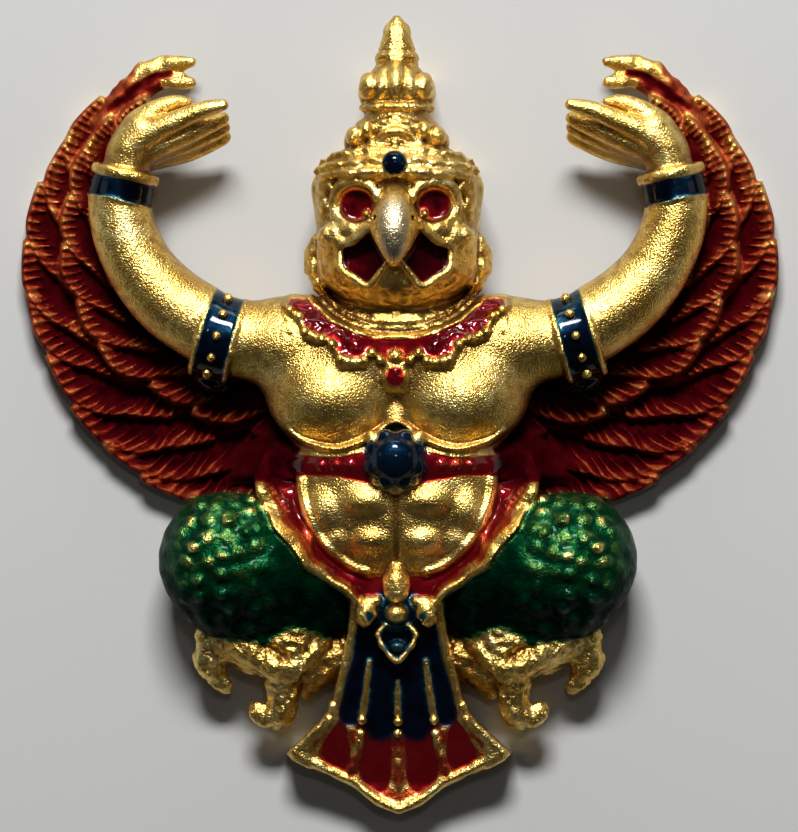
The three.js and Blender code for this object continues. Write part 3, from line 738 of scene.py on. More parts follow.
def press_tail_flower(clay):
    """The four petals and the bead where the tail leaves the sash, and the kite below them."""
    clay.part = TAIL
    clay.press(ball((0, -23.9, 10.4), (3.0, 2.6, 1.5)), 0.5)
    clay.pour(BLUE, (-4, -28, 8), (0.5, -20, 17), oval((0, -24.2), (2.9, 2.5)), 0.5, 0.3, 0.5)
    top = [(0, -22.4, 12.6, 1.0), (0, -21.4, 12.9, 1.75), (0, -20.4, 13.0, 1.6), (0, -19.3, 13.0, 0.9),
           (0, -18.6, 13.2, 0.4)]
    clay.press(bar(top).roughened(0.16, 0.8, 91), 0.3)
    clay.press(ball((-3.8, -24.4, 12.2), (1.4, 1.9, 1.5), -10).roughened(0.2, 0.8, 92), 0.3)
    clay.cell(BLUE, (-5.5, -27, 9), (-2.5, -22, 15), oval((-3.3, -25.0), (0.6, 0.9), 30), 0.3, 0.25, 0.1)
    clay.press(ball((-2.5, -23.0, 12.3), (0.7, 0.6, 0.9), 30).roughened(0.1, 0.8, 93), 0.3)
    clay.press(ball((0, -24.6, 12.2), (1.3, 1.15, 1.5)), 0.2)
    kite = [(-1.3, -26.1), (-2.35, -27.3), (-1.5, -29.1), (0, -30.7)]
    clay.press(bar([(x, y, 11.2, 0.4) for x, y in kite], steps=2).roughened(0.16, 0.7, 94), 0.25)
    clay.press(ball((0, -28.7, 10.4), (0.9, 0.6, 0.9)), 0.3)
    inside = within([(-1.3, -26.1), (-2.1, -27.3), (-1.4, -28.9), (0, -30.3), (3, -30.3), (3, -26.1)], 9)
    clay.pour(BLUE, (-3, -31.5, 9), (0.5, -25, 13), inside, 0.6, 0.15, 0.14)


# Torso: chest, belly, sash and belt

def press_torso(clay):
    clay.part = TORSO
    trunk = [(-12.6, 12), (-12.8, -8), (-12, -22), (0.5, -22), (0.5, 12)]
    clay.press(slab(trunk, even(4.5), high=6))
    clay.pour(THIN_RED, (-19, -10, 1), (-11, 6, 8), within(SIDE_POOL, 1, 9), 1.8, 0.3)
    clay.stain((-24, -10, 1), (-11, 6, 8), 1.0, grown(within(SIDE_POOL), 2.5), 5.0)
    press_sash(clay)
    press_belly(clay)
    press_belt(clay)
    press_chest(clay)


FLOWER_Y = -5.3       # middle of the belt's flower
SIDE_POOL = [(-18.6, -8.5), (-18.0, -3.0), (-16.4, 1.0), (-15.8, 5), (-12, 5.5), (-11.5, -9), (-17.6, -9.5)]
SASH_EDGE = [(-17.9, -7.6), (-17.5, -9.8), (-16.0, -12.0), (-15.4, -13.8), (-14.2, -15.2),
             (-12.8, -16.8), (-11.5, -18.8), (-9.6, -19.9), (-8.0, -21.1), (-6.5, -21.9), (-5.3, -23.4)]
BELLY = [(-12.5, -7.2), (-12.3, -9.6), (-11.6, -12.4), (-10.4, -14.8), (-8.6, -17.2), (-5.8, -19.2),
         (-3.0, -19.9), (3, -20.0), (3, -3), (-8, -3)]


def press_sash(clay):
    """The sash hangs in a V over the thighs. Its edge is bright, then come ribbed folds, then a pool."""
    outline = [(-16.8, -4.6)] + SASH_EDGE + [(3, -24.2), (3, -14), (-8, -12), (-11.4, -3.6)]
    border = strip([(x, y, 0) for x, y in SASH_EDGE], 3)
    sash = within(outline, 5)

    def inward(x, y):
        return border(x, y, 0) / (1 - 0.45 * eased(-y, 15, 21))

    def front(x, y):
        away = inward(x, y)
        wander = flat_lumps(x, y, 2.4, 95)
        run = 0.62 * x - 0.78 * y
        ribs = 0.1 * np.cos(8.0 * run + 3.5 * wander) * eased(away, 0.7, 1.3) * eased(y, -14, -10)
        edge = (0.35 + 0.7 * wander) * (1 - eased(away, 1.1, 2.1))
        base = 11.2 + 0.5 * eased(y, -17, -21) - 5.5 * eased(y, -9.5, -4.5)
        fold = edge + (0.3 + 0.45 * np.abs(np.sin(0.56 * run + 0.5)) + ribs) * (1 - eased(away, 1.9, 3.4))
        return greater(base, thigh_top(x, y) + 0.45, 0.8) + fold

    def film(x, y, z):
        away = inward(x, y)
        uneven = lumps(x, y, z, 1.6, 96)
        return (0.04 + 0.16 * uneven) * eased(away, 1.0, 1.8) + 0.5 * eased(away, 2.0, 2.8) + 0 * z

    def inner(x, y, z):
        return np.maximum(sash(x, y, z), 1.7 + 1.2 * flat_lumps(x, y, 2.4, 95) - inward(x, y))

    box = ((-19, -25, 5), (0.5, -3, 16))
    clay.press(slab(outline, front, 0.6, 17), 0.4, film)
    clay.cell(RED, *box, inner, 0.7, 0.55, 0.4, 0.7)
    clay.relabel(RED, *box, grown(sash, -0.5))
    clay.stain(*box, film, sash)


def pour_side(clay):
    """The dark red pool where wing, sash and belt meet beside the chest."""
    clay.part = TORSO
    pool = within([(-22.0, -8.8), (-22.2, -6.6), (-20.8, -4.2), (-18.9, -2.2), (-16.9, -0.9), (-14.8, -2.4),
                   (-12.6, -4.3), (-11.2, -4.8), (-11.4, -7.5), (-13.2, -8.1), (-16.8, -8.6)], 1, 11)
    clay.pour(THIN_RED, (-24, -10, 1), (-11, 2, 12), pool, 1.7, 0.5, taper=1.4)
    clay.stain((-24, -10, 1), (-11, 2, 12), 1.2, grown(pool, 0.9), 1.2)


def press_belly(clay):
    def front(x, y):
        return 15.2 - 3.0 * ((x / 12.4) ** 2 + ((y + 8) / 12) ** 2) ** 1.4

    clay.press(slab(BELLY, front, 0.9, 16), 0.3)
    press_balls(clay, (((-3.7, -10.5, 13.0), (3.5, 2.2, 3.0), 0, 0.8),
                       ((-8.6, -11.4, 12.0), (2.6, 3.2, 2.6), 0, 0.8),
                       ((-3.1, -15.3, 12.2), (3.1, 1.9, 2.8), 0, 0.8),
                       ((-7.2, -15.2, 11.8), (2.2, 1.8, 2.0), 0, 0.8)))
    clay.relabel(BARE, (-13, -20, 9), (0.5, -3, 17), within(BELLY, 10))
    furrow = strip([(0, -9.2, 0.3), (0, -13, 0.35), (0, -19, 0.3)])
    clay.emboss((-1, -20, 8), (0.5, -8, 18), -0.35, furrow, 0.35)
    ridge(clay, [(-12.1, -7.6, 0.4), (-11.9, -9.8, 0.5), (-11.2, -12.4, 0.55), (-10.0, -14.8, 0.55),
                 (-8.3, -16.9, 0.5), (-5.6, -18.9, 0.45), (-3.6, -19.5, 0.35)], 0.6, 6)


def press_belt(clay):
    line = [(-15.6, -5.6, 5.0), (-12.4, -6.0, 9.0), (-9.4, -5.9, 12.2), (-5, -5.8, 13.8), (0, -5.8, 14.4)]
    clay.press(bar([(x, y, z, 2.2) for x, y, z in line], 0.8), 0.3)
    band = [(-16.5, -4.6), (-12, -4.8), (-7.5, -5.1), (-4.2, -4.4), (-2.4, -2.8), (3, -2.4), (3, -9.6),
            (-1.5, -9.4), (-4, -8.3), (-8, -7.6), (-12.4, -7.5), (-16.5, -8.4)]
    box = ((-17, -10, 4), (0.5, -1, 18))
    clay.cell(RED, *box, within(band, 4), 0.7, 0.62, 0.2, 0.6)
    clay.stain(*box, lambda x, y, z: 0.65 + 1.2 * eased(-x, 11, 13.5), within(band, 4))
    for x in (-5.7, -7.5, -9.3):
        dot = ball((x, -6.1, clay.height_at(x, -6.1) - 0.25), (0.65, 0.65, 0.55))
        clay.press(dot, 0.3, even(0.34))


def press_chest(clay):
    press_balls(clay, (((0, 5.6, 6.6), (12.6, 8.6, 8.0), 0, 1.0),
                       ((-11.8, 8.6, 7.8), (7.4, 5.6, 6.2), -10, 2.5),
                       ((-8.0, 2.4, 9.2), (8.0, 6.4, 7.4), -12, 2.2),
                       ((-5.4, 7.6, 9.6), (6.0, 4.6, 6.0), -25, 2.0),
                       ((0, 0.2, 11.4), (2.4, 2.2, 2.8), 0, 0.8)))
    ridge(clay, [(-13.4, -1.8, 0.15), (-11.4, -3.2, 0.3), (-7.5, -4.1, 0.35), (-3.8, -3.0, 0.35),
                 (-1.4, -1.3, 0.35), (0, -0.6, 0.35)], 0.4)


def petal_ring(clay, count, start, reach, z, radii, soft):
    """Petals round the belt's flower. Those that lie wholly in the right half are left to the mirror."""
    for n in range(count):
        turn = 2 * math.pi * (n + start) / count
        x, y = reach * math.sin(turn), FLOWER_Y + reach * math.cos(turn)
        if x < 1.2:
            clay.press(ball((x, y, z), radii), soft)


def press_belt_flower(clay):
    def scalloped(x, y, z):
        return np.hypot(x, y - FLOWER_Y) - 3.6 + 0.3 * np.cos(8 * np.arctan2(x, y - FLOWER_Y))

    clay.part = TORSO
    petal_ring(clay, 8, 0.5, 2.75, 16.2, (1.15, 1.15, 1.3), 0.3)
    clay.press(ball((0, FLOWER_Y, 16.2), (2.6, 2.6, 2.9)), 0.3)
    petal_ring(clay, 6, 0.0, 1.5, 17.4, (1.0, 1.0, 1.4), 0.4)
    for x, y, radius in ((-2.9, -2.7, 1.0), (-1.2, -8.5, 0.9), (0, -8.9, 1.0), (-2.3, -8.0, 0.7)):
        clay.press(ball((x, y, 15.4), (radius, radius, 1.1)).roughened(0.12, 0.8, 97), 0.3)
    clay.pour(BLUE, (-5, -10, 13), (0.5, 0, 21), scalloped, 0.5, 0.45, 0.42)


COLLAR_INNER = [(-10.8, 15.0), (-8.1, 12.2), (-5.0, 10.7), (-2.4, 10.1), (0, 10.0), (3, 10.1)]
COLLAR_OUTER = [(3, 5.9), (0, 5.9), (-1.4, 6.3), (-2.5, 7.4), (-3.3, 7.6), (-3.8, 6.2), (-5.4, 5.9),
                (-6.9, 5.9), (-7.5, 7.8), (-8.5, 9.2), (-9.8, 8.9), (-11.4, 9.6), (-11.9, 11.4),
                (-12.8, 12.2), (-14.2, 13.7), (-13.4, 15.2)]
COLLAR_TEETH = [(-1.9, 7.0), (-2.9, 7.9), (-3.9, 6.9), (-4.9, 6.7), (-5.9, 6.8), (-6.8, 7.1), (-7.9, 8.9),
                (-9.2, 9.6), (-10.3, 9.9), (-11.3, 10.5), (-12.1, 12.4), (-13.2, 13.2)]


def press_collar(clay):
    """A red band round the neck, with a toothed edge of gold and a drop in its middle."""
    def drop(x, y, z):
        return np.hypot(x, (y - 4.9) * 0.88) - 1.3

    clay.part = TORSO
    box = ((-16, 4, 6), (0.5, 17, 21))
    collar = within(COLLAR_OUTER + COLLAR_INNER, 7)
    clay.emboss(*box, 0.6, collar, 0.3)
    clay.cell(RED, *box, collar, 0.9, 0.8, 0.55)
    clay.emboss(*box, unevenness(0.3, 1.2, 99), grown(collar, -0.9), 0.4)
    for rise in (0.1, 0.9, 1.7):
        ridge(clay, [(x * (1 - 0.04 * rise), y + rise, 0.3) for x, y in COLLAR_INNER], 0.4, 6, 3)
    for x, y in COLLAR_TEETH:
        clay.press(ball((x, y, clay.height_at(x, y) + 0.05), (0.55, 0.6, 0.6)), 0.3)
    clay.press(ball((0, 4.9, clay.height_at(0, 5.0)), (2.0, 2.2, 1.3)).roughened(0.2, 0.8, 98), 0.3)
    clay.cell(RED, (-2.5, 2, 10), (0.5, 7.5, 21), drop, 0.7, 0.75, 0.3)
    clay.press(ball((0, 7.4, clay.height_at(0, 7.4) + 0.1), (1.0, 0.95, 1.0)), 0.2)


# Arms and hands

ARM = [(-9.5, 8.0, 8.4, 5.2), (-14.0, 8.9, 8.8, 5.4), (-18.0, 9.4, 8.8, 5.0), (-21.6, 10.0, 8.8, 4.75),
       (-25.0, 11.9, 8.8, 4.75), (-28.6, 14.4, 8.6, 4.6), (-32.0, 18.2, 8.4, 4.25),
       (-34.2, 22.8, 8.4, 4.05), (-34.9, 26.8, 8.4, 3.9), (-34.7, 28.4, 8.5, 3.8)]


# Bands on the arm: the centre, and the arm's direction there
ARMLET = ((-22.4, 9.9, 8.6), (-0.965, 0.265))
WRISTLET = ((-34.6, 28.3, 8.5), (0.22, 0.975))


def moved_along(centre, axis, by):
    """A band's centre, moved along the arm by this much."""
    return (centre[0] + by * axis[0], centre[1] + by * axis[1], centre[2])


def press_arm(clay):
    clay.part = ARMS
    shadow = bar([(x, y, 4.5, r) for x, y, z, r in ARM])
    clay.stain(shadow.low, shadow.high, 0.7, grown(shadow.distance, 2), 2.0)
    clay.press(bar(ARM), 1.6)
    fill = [(x, y, z - 2.2, r) for x, y, z, r in ARM]
    clay.press(bar(fill), 0.5)


def press_armlet(clay):
    centre, axis = ARMLET
    clay.part = ARMS
    clay.press(clasp(centre, axis, 5.35, 2.05), 0.25)
    clay.press(clasp((centre[0], centre[1], 6.4), axis, 5.35, 2.05), 0.25)
    for side in (-2.1, 2.1):
        rim = clasp(moved_along(centre, axis, side), axis, 5.55, 0.45, soft=0.5)
        clay.press(rim.roughened(0.12, 0.7, 35), 0.3)
    cuff = clasp(centre, axis, 5.9, 1.95)
    box = ((-28, 2, 5), (-17, 18, 17))
    clay.cell(BLUE, *box, cuff.distance, 0.5, 0.45, 0.1)
    # Painted shade: the enamel deepens towards the band's lower side, darker where its round turns from the
    # light.
    clay.stain(*box, lambda x, y, z: 0.15 + 1.1 * eased(-y, -12.5, -6.5), cuff.distance)
    # A lump under the band's lower side, under nearly black enamel: painted shade below the band.
    foot = bar([(-24.3, 7.2, 7.6, 1.7), (-23.8, 5.3, 6.6, 2.0), (-22.3, 4.8, 6.2, 2.1),
                (-20.8, 5.4, 6.4, 2.0), (-20.1, 6.8, 7.2, 1.5)], 1.2)
    clay.press(foot, 0.6, even(2.2))
    clay.relabel(BLUE, foot.low, foot.high, grown(foot.distance, 0.9))


def press_wristlet(clay):
    centre, axis = WRISTLET
    clay.part = ARMS
    clay.press(clasp(centre, axis, 3.95, 1.35), 0.3)
    for side, radius, half in ((-1.35, 4.2, 0.35), (1.95, 4.35, 0.75)):
        rim = clasp(moved_along(centre, axis, side), axis, radius, half, soft=0.8)
        clay.press(rim.roughened(0.1, 1.0, 36), 0.15)
    cuff = clasp(centre, axis, 4.5, 1.15)
    box = ((-40, 24, 6), (-29, 33, 15))
    clay.cell(BLUE, *box, cuff.distance, 0.5, 0.5, 0.1)
    # Painted light: the enamel deepens towards the band's sides, so it stays lighter along its middle and
    # darker at its sides, as light falls on its round.
    clay.stain(*box, lambda x, y, z: 0.3 + 1.0 * eased(np.abs(x + 35.6), 0.8, 2.4), grown(cuff.distance, 0.3))


def press_hand(clay):
    clay.part = ARMS
    palm = [(-34.1, 29.4, 8.6, 2.9), (-33.6, 33.0, 9.0, 2.85), (-32.0, 35.6, 9.4, 2.6)]
    clay.press(bar(palm, 1.1), 0.5)
    first = [(-33.2, 33.6, 10.2, 1.9), (-30.4, 35.6, 11.0, 1.6), (-27.2, 37.0, 11.6, 1.3),
             (-24.2, 38.2, 12.0, 1.1), (-21.7, 38.8, 12.2, 0.75)]
    clay.press(bar(first), 0.5)
    thumb = [(-34.2, 33.2, 9.0, 2.0), (-32.6, 36.4, 9.4, 1.7), (-30.2, 38.2, 9.8, 1.35),
             (-27.8, 39.2, 10.0, 0.95), (-26.2, 39.2, 10.0, 0.6)]
    clay.press(bar(thumb), 0.4)
    for n, depth in enumerate((9.6, 7.6, 5.8)):
        drop = 1.1 + 1.1 * n
        finger = [(-33.4, 32.4, depth - 0.4, 2.2), (-30.2, 34.4 - 0.5 * drop, depth, 1.8),
                  (-26.4, 36.3 - 0.9 * drop, depth, 1.45), (-22.6, 37.9 - 1.0 * drop, depth, 1.0),
                  (-21.8, 38.3 - 1.0 * drop, depth, 0.8)]
        clay.press(bar(finger), 0.5)


# Head: a beaked face, ears, and the diadem and crown over it

EYE = (-4.85, 26.3)
MOUTH = [(-3.3, 23.1), (-2.1, 21.0), (-0.95, 19.2), (-1.9, 17.9), (-3.3, 16.3), (-5.0, 17.2), (-6.6, 18.3),
         (-7.0, 20.0), (-6.7, 21.1), (-5.2, 21.4), (-4.2, 22.3)]


def press_head(clay):
    clay.part = HEAD
    clay.press(bar([(0, 8.5, 7.4, 8.2), (0, 14.5, 7.8, 8.2)], 0.85, 1), 0.8)
    clay.press(slab([(-8, 8), (-9, 18), (-9.7, 28), (-9.7, 31), (-8, 33), (0.5, 33), (0.5, 8)],
                    even(9.4), 1.0, high=11), 0.6)
    press_balls(clay, (((0, 23.4, 10), (9.9, 9.6, 8.6), 0, 0.6),
                       ((0, 17.3, 10.9), (6.6, 4.3, 6.8), 0, 1.6),
                       ((-5.7, 19.4, 10.2), (4.2, 4.9, 6.0), 8, 1.6),
                       ((-6.9, 22.6, 14.4), (2.9, 1.6, 2.6), 8, 1.0),
                       ((-4.6, 23.0, 16.2), (2.2, 1.2, 1.5), -14, 0.8),
                       ((-8.2, 28.7, 11.4), (1.9, 1.9, 3.6), 0, 0.8)))
    crease = strip([(-9.0, 15.8, 0.3), (-6.2, 14.2, 0.35), (-3.0, 13.3, 0.35), (0, 13.1, 0.35)])
    clay.emboss((-10, 11, 9), (0.5, 17, 22), -0.7, crease, 0.5)
    for lumpy in (unevenness(0.2, 0.9, 33), unevenness(0.1, 0.55, 34)):
        clay.emboss((-12, 12, 8), (0.5, 31, 22), lumpy, everywhere)
    press_mouth(clay)
    press_eye(clay)
    press_beak(clay)
    press_ear(clay)


def press_mouth(clay):
    """The mouth's two halves are one deep hole each, lipped, with a sloping floor of red."""
    pit = slab(MOUTH, even(99.0), 0.2, 24)

    def hole(x, y, z):
        return greater(pit.distance(x, y, z), 13.2 - z, 1.0)

    def floor(x, y):
        return 15.6 + 0.22 * (20 - y) + 0.25 * (x + 4)

    clay.carve(Form((-8, 15, 12), (0, 24, 24), hole), 0.45)
    lip = [(-6.9, 20.4, 16.1, 0.42), (-6.7, 18.3, 16.5, 0.5), (-5.1, 17.1, 17.2, 0.55),
           (-3.3, 16.1, 17.8, 0.55), (-1.9, 17.7, 18.4, 0.45), (-0.7, 19.2, 18.8, 0.4)]
    clay.press(bar(lip, steps=3), 0.5)
    upper = [(-6.8, 21.2, 16.4, 0.45), (-5.2, 21.7, 17.4, 0.5), (-4.2, 22.6, 18.0, 0.5),
             (-3.2, 23.5, 18.6, 0.4)]
    clay.press(bar(upper, steps=3), 0.5)
    clay.fill(RED, slab(MOUTH, floor, 0.2, 18), 0.5)
    clay.stain((-8, 15, 12), (0, 24, 19), 1.5, within(MOUTH, 11, 17.6), 0.6)


def press_eye(clay):
    x, y = EYE
    lid = [(x - 2.8, y - 1.4, 15.2, 0.5), (x - 2.8, y + 0.8, 15.4, 0.65), (x - 1.9, y + 2.3, 16.0, 0.8),
           (x, y + 2.8, 16.7, 0.85), (x + 1.7, y + 2.3, 17.3, 0.75), (x + 2.5, y + 1.0, 17.9, 0.6)]
    clay.press(bar(lid, steps=4), 0.5)
    under = [(x - 2.6, y - 1.2, 15.4, 0.4), (x - 1.6, y - 2.2, 16.2, 0.4), (x, y - 2.4, 17.0, 0.4),
             (x + 1.8, y - 2.0, 17.6, 0.4)]
    clay.press(bar(under, steps=4), 0.5)
    clay.carve(ball((x, y, 17.6), (2.5, 2.35, 3.8)), 0.25)
    rim = [(x + 2.9 * math.cos(n * math.pi / 8), y + 2.7 * math.sin(n * math.pi / 8)) for n in range(16)]
    clay.fill(RED, slab(rim, lambda x, y: 15.5 + 0.12 * (x + 4.85), 0.3, 17), 0.5)
    clay.stain((x - 3, y - 3, 12), (x + 3, y + 3, 18), 0.8, oval((x, y), (2.0, 1.85)), 0.35)
    clay.press(ball((x + 1.2, y - 1.1, 16.0), (0.42, 0.42, 0.7)), 0.15)


def press_beak(clay):
    """A high rounded bridge that hooks down to a point between the two halves of the mouth."""
    line = [(0, 28.3, 17.2, 1.0), (0, 27.2, 18.2, 1.65), (0, 25.8, 19.2, 2.3), (0, 24.4, 19.8, 2.85),
            (0, 23.3, 20.3, 2.85), (0, 22.0, 20.9, 2.25), (0, 20.7, 21.3, 1.6), (0, 19.6, 21.1, 0.95),
            (0, 18.8, 20.6, 0.4)]
    clay.press(bar(line, 1.2, 4), 0.45)
    clay.press(bar([(0, 21.4, 18.6, 1.1), (0, 19.2, 18.4, 0.7)], 1.4, 2), 0.5)
    clay.press(bar([(-1.9, 23.6, 20.6, 0.35), (-2.6, 23.4, 19.6, 0.4), (-3.3, 23.7, 18.6, 0.4)]), 0.35)
    clay.carve(ball((-2.15, 24.5, 21.2), (0.4, 0.34, 0.9)), 0.2)
    clay.press(bar([(-0.5, 28.6, 17.8, 0.45), (-1.6, 28.0, 17.8, 0.45), (-2.4, 27.0, 17.8, 0.4)]), 0.4)


def press_ear(clay):
    flap = [(-9.7, 30.2, 8.6, 0.5), (-10.1, 28.6, 9.2, 0.7), (-9.9, 26.0, 9.2, 0.6), (-9.6, 23.2, 9.0, 0.5)]
    clay.press(bar(flap, 2.2), 0.35)
    clay.press(ball((-8.9, 27.0, 10.6), (1.2, 3.2, 3.4)).roughened(0.15, 0.8, 31), 0.4)
    drop = [(-9.8, 22.6, 8.0, 0.6), (-10.3, 20.6, 7.8, 1.3), (-10.2, 18.4, 7.6, 1.45), (-9.4, 16.4, 7.4, 1.0),
            (-8.8, 15.2, 7.2, 0.5)]
    clay.press(bar(drop, 1.4).roughened(0.22, 0.9, 32), 0.3)


CROWN_DEPTH = 11.3
CROWN_PROFILE = [
    (8.6, 29.2), (9.7, 29.6), (9.95, 30.2), (9.7, 30.9), (9.0, 31.7), (8.2, 32.4), (7.2, 33.0),
    (6.2, 33.4), (5.9, 33.8), (6.0, 34.6), (5.8, 35.6), (5.2, 36.4), (4.5, 36.8), (4.2, 37.1),
    (4.1, 38.0), (4.3, 38.3), (4.35, 38.8), (3.9, 39.2), (4.0, 39.8), (4.1, 41.0), (3.8, 42.0),
    (3.2, 42.6), (2.9, 43.2), (2.6, 43.8), (2.5, 44.1), (2.75, 44.4), (2.7, 45.0), (2.35, 45.35),
    (2.05, 45.5), (2.3, 45.8), (1.95, 47.2), (1.4, 48.6), (0.85, 49.5), (0.4, 49.9),
]


def round_head(turn, radius, y):
    """A place on the head's round, this many degrees from its middle."""
    a = math.radians(turn)
    return (-radius * math.sin(a), y, CROWN_DEPTH + radius * math.cos(a) * crown_flatness(y))


def crown_flatness(y):
    return 0.76 + 0.24 * eased(y, 31.5, 38.0)


def crown_radius(y):
    return float(np.interp(y, *zip(*[(height, radius) for radius, height in CROWN_PROFILE])))


def crown_arc(clay, stops, thick, seed):
    """A rough bar laid on the crown. A stop is how many degrees from its middle, and the height."""
    line = [(*round_head(turn, crown_radius(y), y), thick) for turn, y in stops]
    clay.press(bar(line).roughened(0.28, 0.8, seed), 0.2)


def press_crown(clay):
    clay.part = HEAD
    clay.press(slab([(-4.2, 30), (-4.2, 42), (-1.6, 44.6), (0.5, 44.6), (0.5, 30)],
                    even(CROWN_DEPTH - 2), high=11), 0.4)
    clay.press(turned_form(CROWN_PROFILE, CROWN_DEPTH, crown_flatness).roughened(0.2, 0.8, 21), 0.4)
    for seed, stops in ((40, [(0, 30.3), (30, 30.2), (60, 29.9), (90, 29.6)]),
                        (41, [(0, 31.7), (30, 31.5), (60, 31.0), (90, 30.4)]),
                        (42, [(0, 33.2), (35, 32.8), (65, 32.1), (90, 31.6)])):
        crown_arc(clay, stops, 0.5, seed)
    press_crown_arches(clay)
    press_crown_petals(clay)
    press_jewel(clay)


def press_crown_arches(clay):
    crown_arc(clay, [(0, 36.9), (20, 36.3), (38, 35.0), (48, 33.6)], 0.5, 51)
    crown_arc(clay, [(0, 35.6), (12, 35.1), (24, 34.1), (36, 33.2)], 0.5, 52)
    crown_arc(clay, [(0, 34.4), (14, 34.0), (30, 33.2)], 0.45, 53)
    press_nuggets(clay, (((-5.1, 34.8, CROWN_DEPTH + 3.0), (1.2, 1.35, 1.6), 0.12, 54, 0.3),
                         ((-3.5, 35.6, CROWN_DEPTH + 4.6), (0.8, 1.1, 1.0), 0.1, 55, 0.3),
                         ((-6.0, 34.2, CROWN_DEPTH + 0.6), (0.6, 1.0, 1.4), 0.1, 56, 0.3)))


def press_crown_petals(clay):
    press_nuggets(clay, (((-3.25, 41.0, CROWN_DEPTH + 1.8), (1.5, 1.8, 2.3), 0.15, 61, 0.12),
                         ((-3.9, 40.4, CROWN_DEPTH - 0.6), (0.9, 1.9, 1.8), 0.15, 62, 0.15)))
    front = [(0, 39.9, CROWN_DEPTH + 4.2, 0.5), (0, 41.4, CROWN_DEPTH + 4.1, 0.95),
             (0, 43.0, CROWN_DEPTH + 2.8, 1.0), (0, 43.9, CROWN_DEPTH + 2.2, 0.6)]
    clay.press(bar(front), 0.12)
    side = [(-1.9, 39.9, CROWN_DEPTH + 3.6, 0.5), (-1.7, 41.2, CROWN_DEPTH + 3.6, 0.8),
            (-1.5, 42.6, CROWN_DEPTH + 2.6, 0.7), (-1.3, 43.3, CROWN_DEPTH + 2.0, 0.4)]
    clay.press(bar(side), 0.12)
    crown_arc(clay, [(0, 38.5), (25, 38.5), (50, 38.4), (80, 38.4)], 0.4, 63)


def press_jewel(clay):
    def stone(x, y, z):
        return np.hypot(x, y - 31.4) - 1.5

    clay.press(ball((0, 31.4, CROWN_DEPTH + 7.2), (1.15, 1.15, 1.15)), 0.3)
    clay.pour(BLUE, (-2.5, 29, 16), (0.5, 34, 24), stone, 0.5, 0.75)


def modelled():
    """The whole left half, from the back forwards."""
    clay = Clay((-49.5, -52, -1.4), (0, 52, HIGHEST))
    press_wings(clay)
    press_legs(clay)
    press_tail(clay)
    press_torso(clay)
    press_tail_flower(clay)
    press_arm(clay)
    press_chest(clay)
    pour_side(clay)
    press_armlet(clay)
    press_wristlet(clay)
    press_hand(clay)
    press_head(clay)
    press_collar(clay)
    press_belt_flower(clay)
    press_crown(clay)
    return clay


# From clay to meshes

def whole(half):
    return np.concatenate([half, half[-2::-1]])


def sampled(field, places):
    """The field's value at places given in grid steps."""
    first = np.clip(np.floor(places).astype(int), 0, np.array(field.shape) - 2)
    share = (places - first).astype(np.float32)
    total = 0
    for corner in np.ndindex(2, 2, 2):
        weight = np.prod(np.where(corner, share, 1 - share), axis=1)
        spot = first + corner
        total = total + weight * field[spot[:, 0], spot[:, 1], spot[:, 2]]
    return total


def nearest(field, places):
    spot = np.clip(np.round(places).astype(int), 0, np.array(field.shape) - 1)
    return field[spot[:, 0], spot[:, 1], spot[:, 2]]


def surface_of(clay):
    """The face's corners in grid steps and its quads, cut flat at the back."""
    depth = ((np.arange(clay.face.shape[2]) + clay.first[2]) * GRAIN).astype(np.float32)
    for field in (clay.face, clay.gold):
        np.maximum(field, -depth[None, None, :], out=field)
    grid = openvdb.FloatGrid(background=FAR)
    grid.copyFromArray(np.clip(whole(clay.face) / GRAIN, -FAR, FAR))
    corners, quads = grid.convertToQuads(isovalue=0.0)
    return corners, quads


def normals_at(field, places):
    steps = np.eye(3) * 0.8
    slope = np.stack([sampled(field, places + s) - sampled(field, places - s) for s in steps], axis=1)
    return slope / np.maximum(np.linalg.norm(slope, axis=1, keepdims=True), 1e-6)


def piece_mesh(name, corners, quads, normals, attributes, material):
    """A mesh of the quads given, with its own corners, normals and attributes."""
    used, places = np.unique(quads, return_inverse=True)
    places = places.reshape(quads.shape)
    mesh = bpy.data.meshes.new(name)
    mesh.vertices.add(len(used))
    mesh.vertices.foreach_set("co", corners[used].astype(np.float32).ravel())
    mesh.loops.add(places.size)
    mesh.loops.foreach_set("vertex_index", places.ravel().astype(np.int32))
    mesh.polygons.add(len(places))
    mesh.polygons.foreach_set("loop_start", np.arange(0, places.size, 4, dtype=np.int32))
    mesh.materials.append(material)
    mesh.update(calc_edges=True)
    mesh.polygons.foreach_set("use_smooth", np.ones(len(places), bool))
    for key, values in attributes.items():
        mesh.attributes.new(key, "FLOAT", "POINT").data.foreach_set("value", values[used].astype(np.float32))
    mesh.normals_split_custom_set_from_vertices(normals[used].tolist())
    return mesh


def add_piece(mesh):
    piece = bpy.data.objects.new(mesh.name, mesh)
    bpy.context.scene.collection.objects.link(piece)
    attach(piece, "root")
    return piece


PARTS = {WINGS: ("wing", "red_enamel", True), ARMS: ("arm", "gilt_metal", True),
         TORSO: ("torso", "gilt_metal", False), HEAD: ("head", "gilt_metal", False),
         LEGS: ("leg", "green_enamel", True), TAIL: ("tail", "blue_enamel", False)}


def tints(clay, places):
    """How far each enamel colours these places, from 0 to 1, and how far any of them does."""
    shares = {}
    for name, label in (("red", RED), ("green", GREEN), ("blue", BLUE), ("wing", THIN_RED)):
        spread = blurred((clay.glaze == label).astype(np.float32), 0.24, True)
        shares[name] = sampled(whole(spread), places)
    total = sum(shares.values())
    shares = {name: share / np.maximum(total, 0.01) for name, share in shares.items()}
    shares["any"] = eased(total, 0.25, 0.75)
    return shares


def painted_shade_spots(x, y, z):
    """Painted shade under the chin and on the lower fingers, from 0 to 1."""
    chin = eased(y, 12.6, 14.0) * (1 - eased(y, 15.6, 18.0)) * eased(z, 11.5, 13.5) * (np.abs(x) < 9.5)
    fingers = eased(-z, -12.0, -10.8) * eased(y, 28.5, 31.0) * (1 - eased(y, 36.6, 38.0)) * (np.abs(x) > 20)
    return chin + fingers


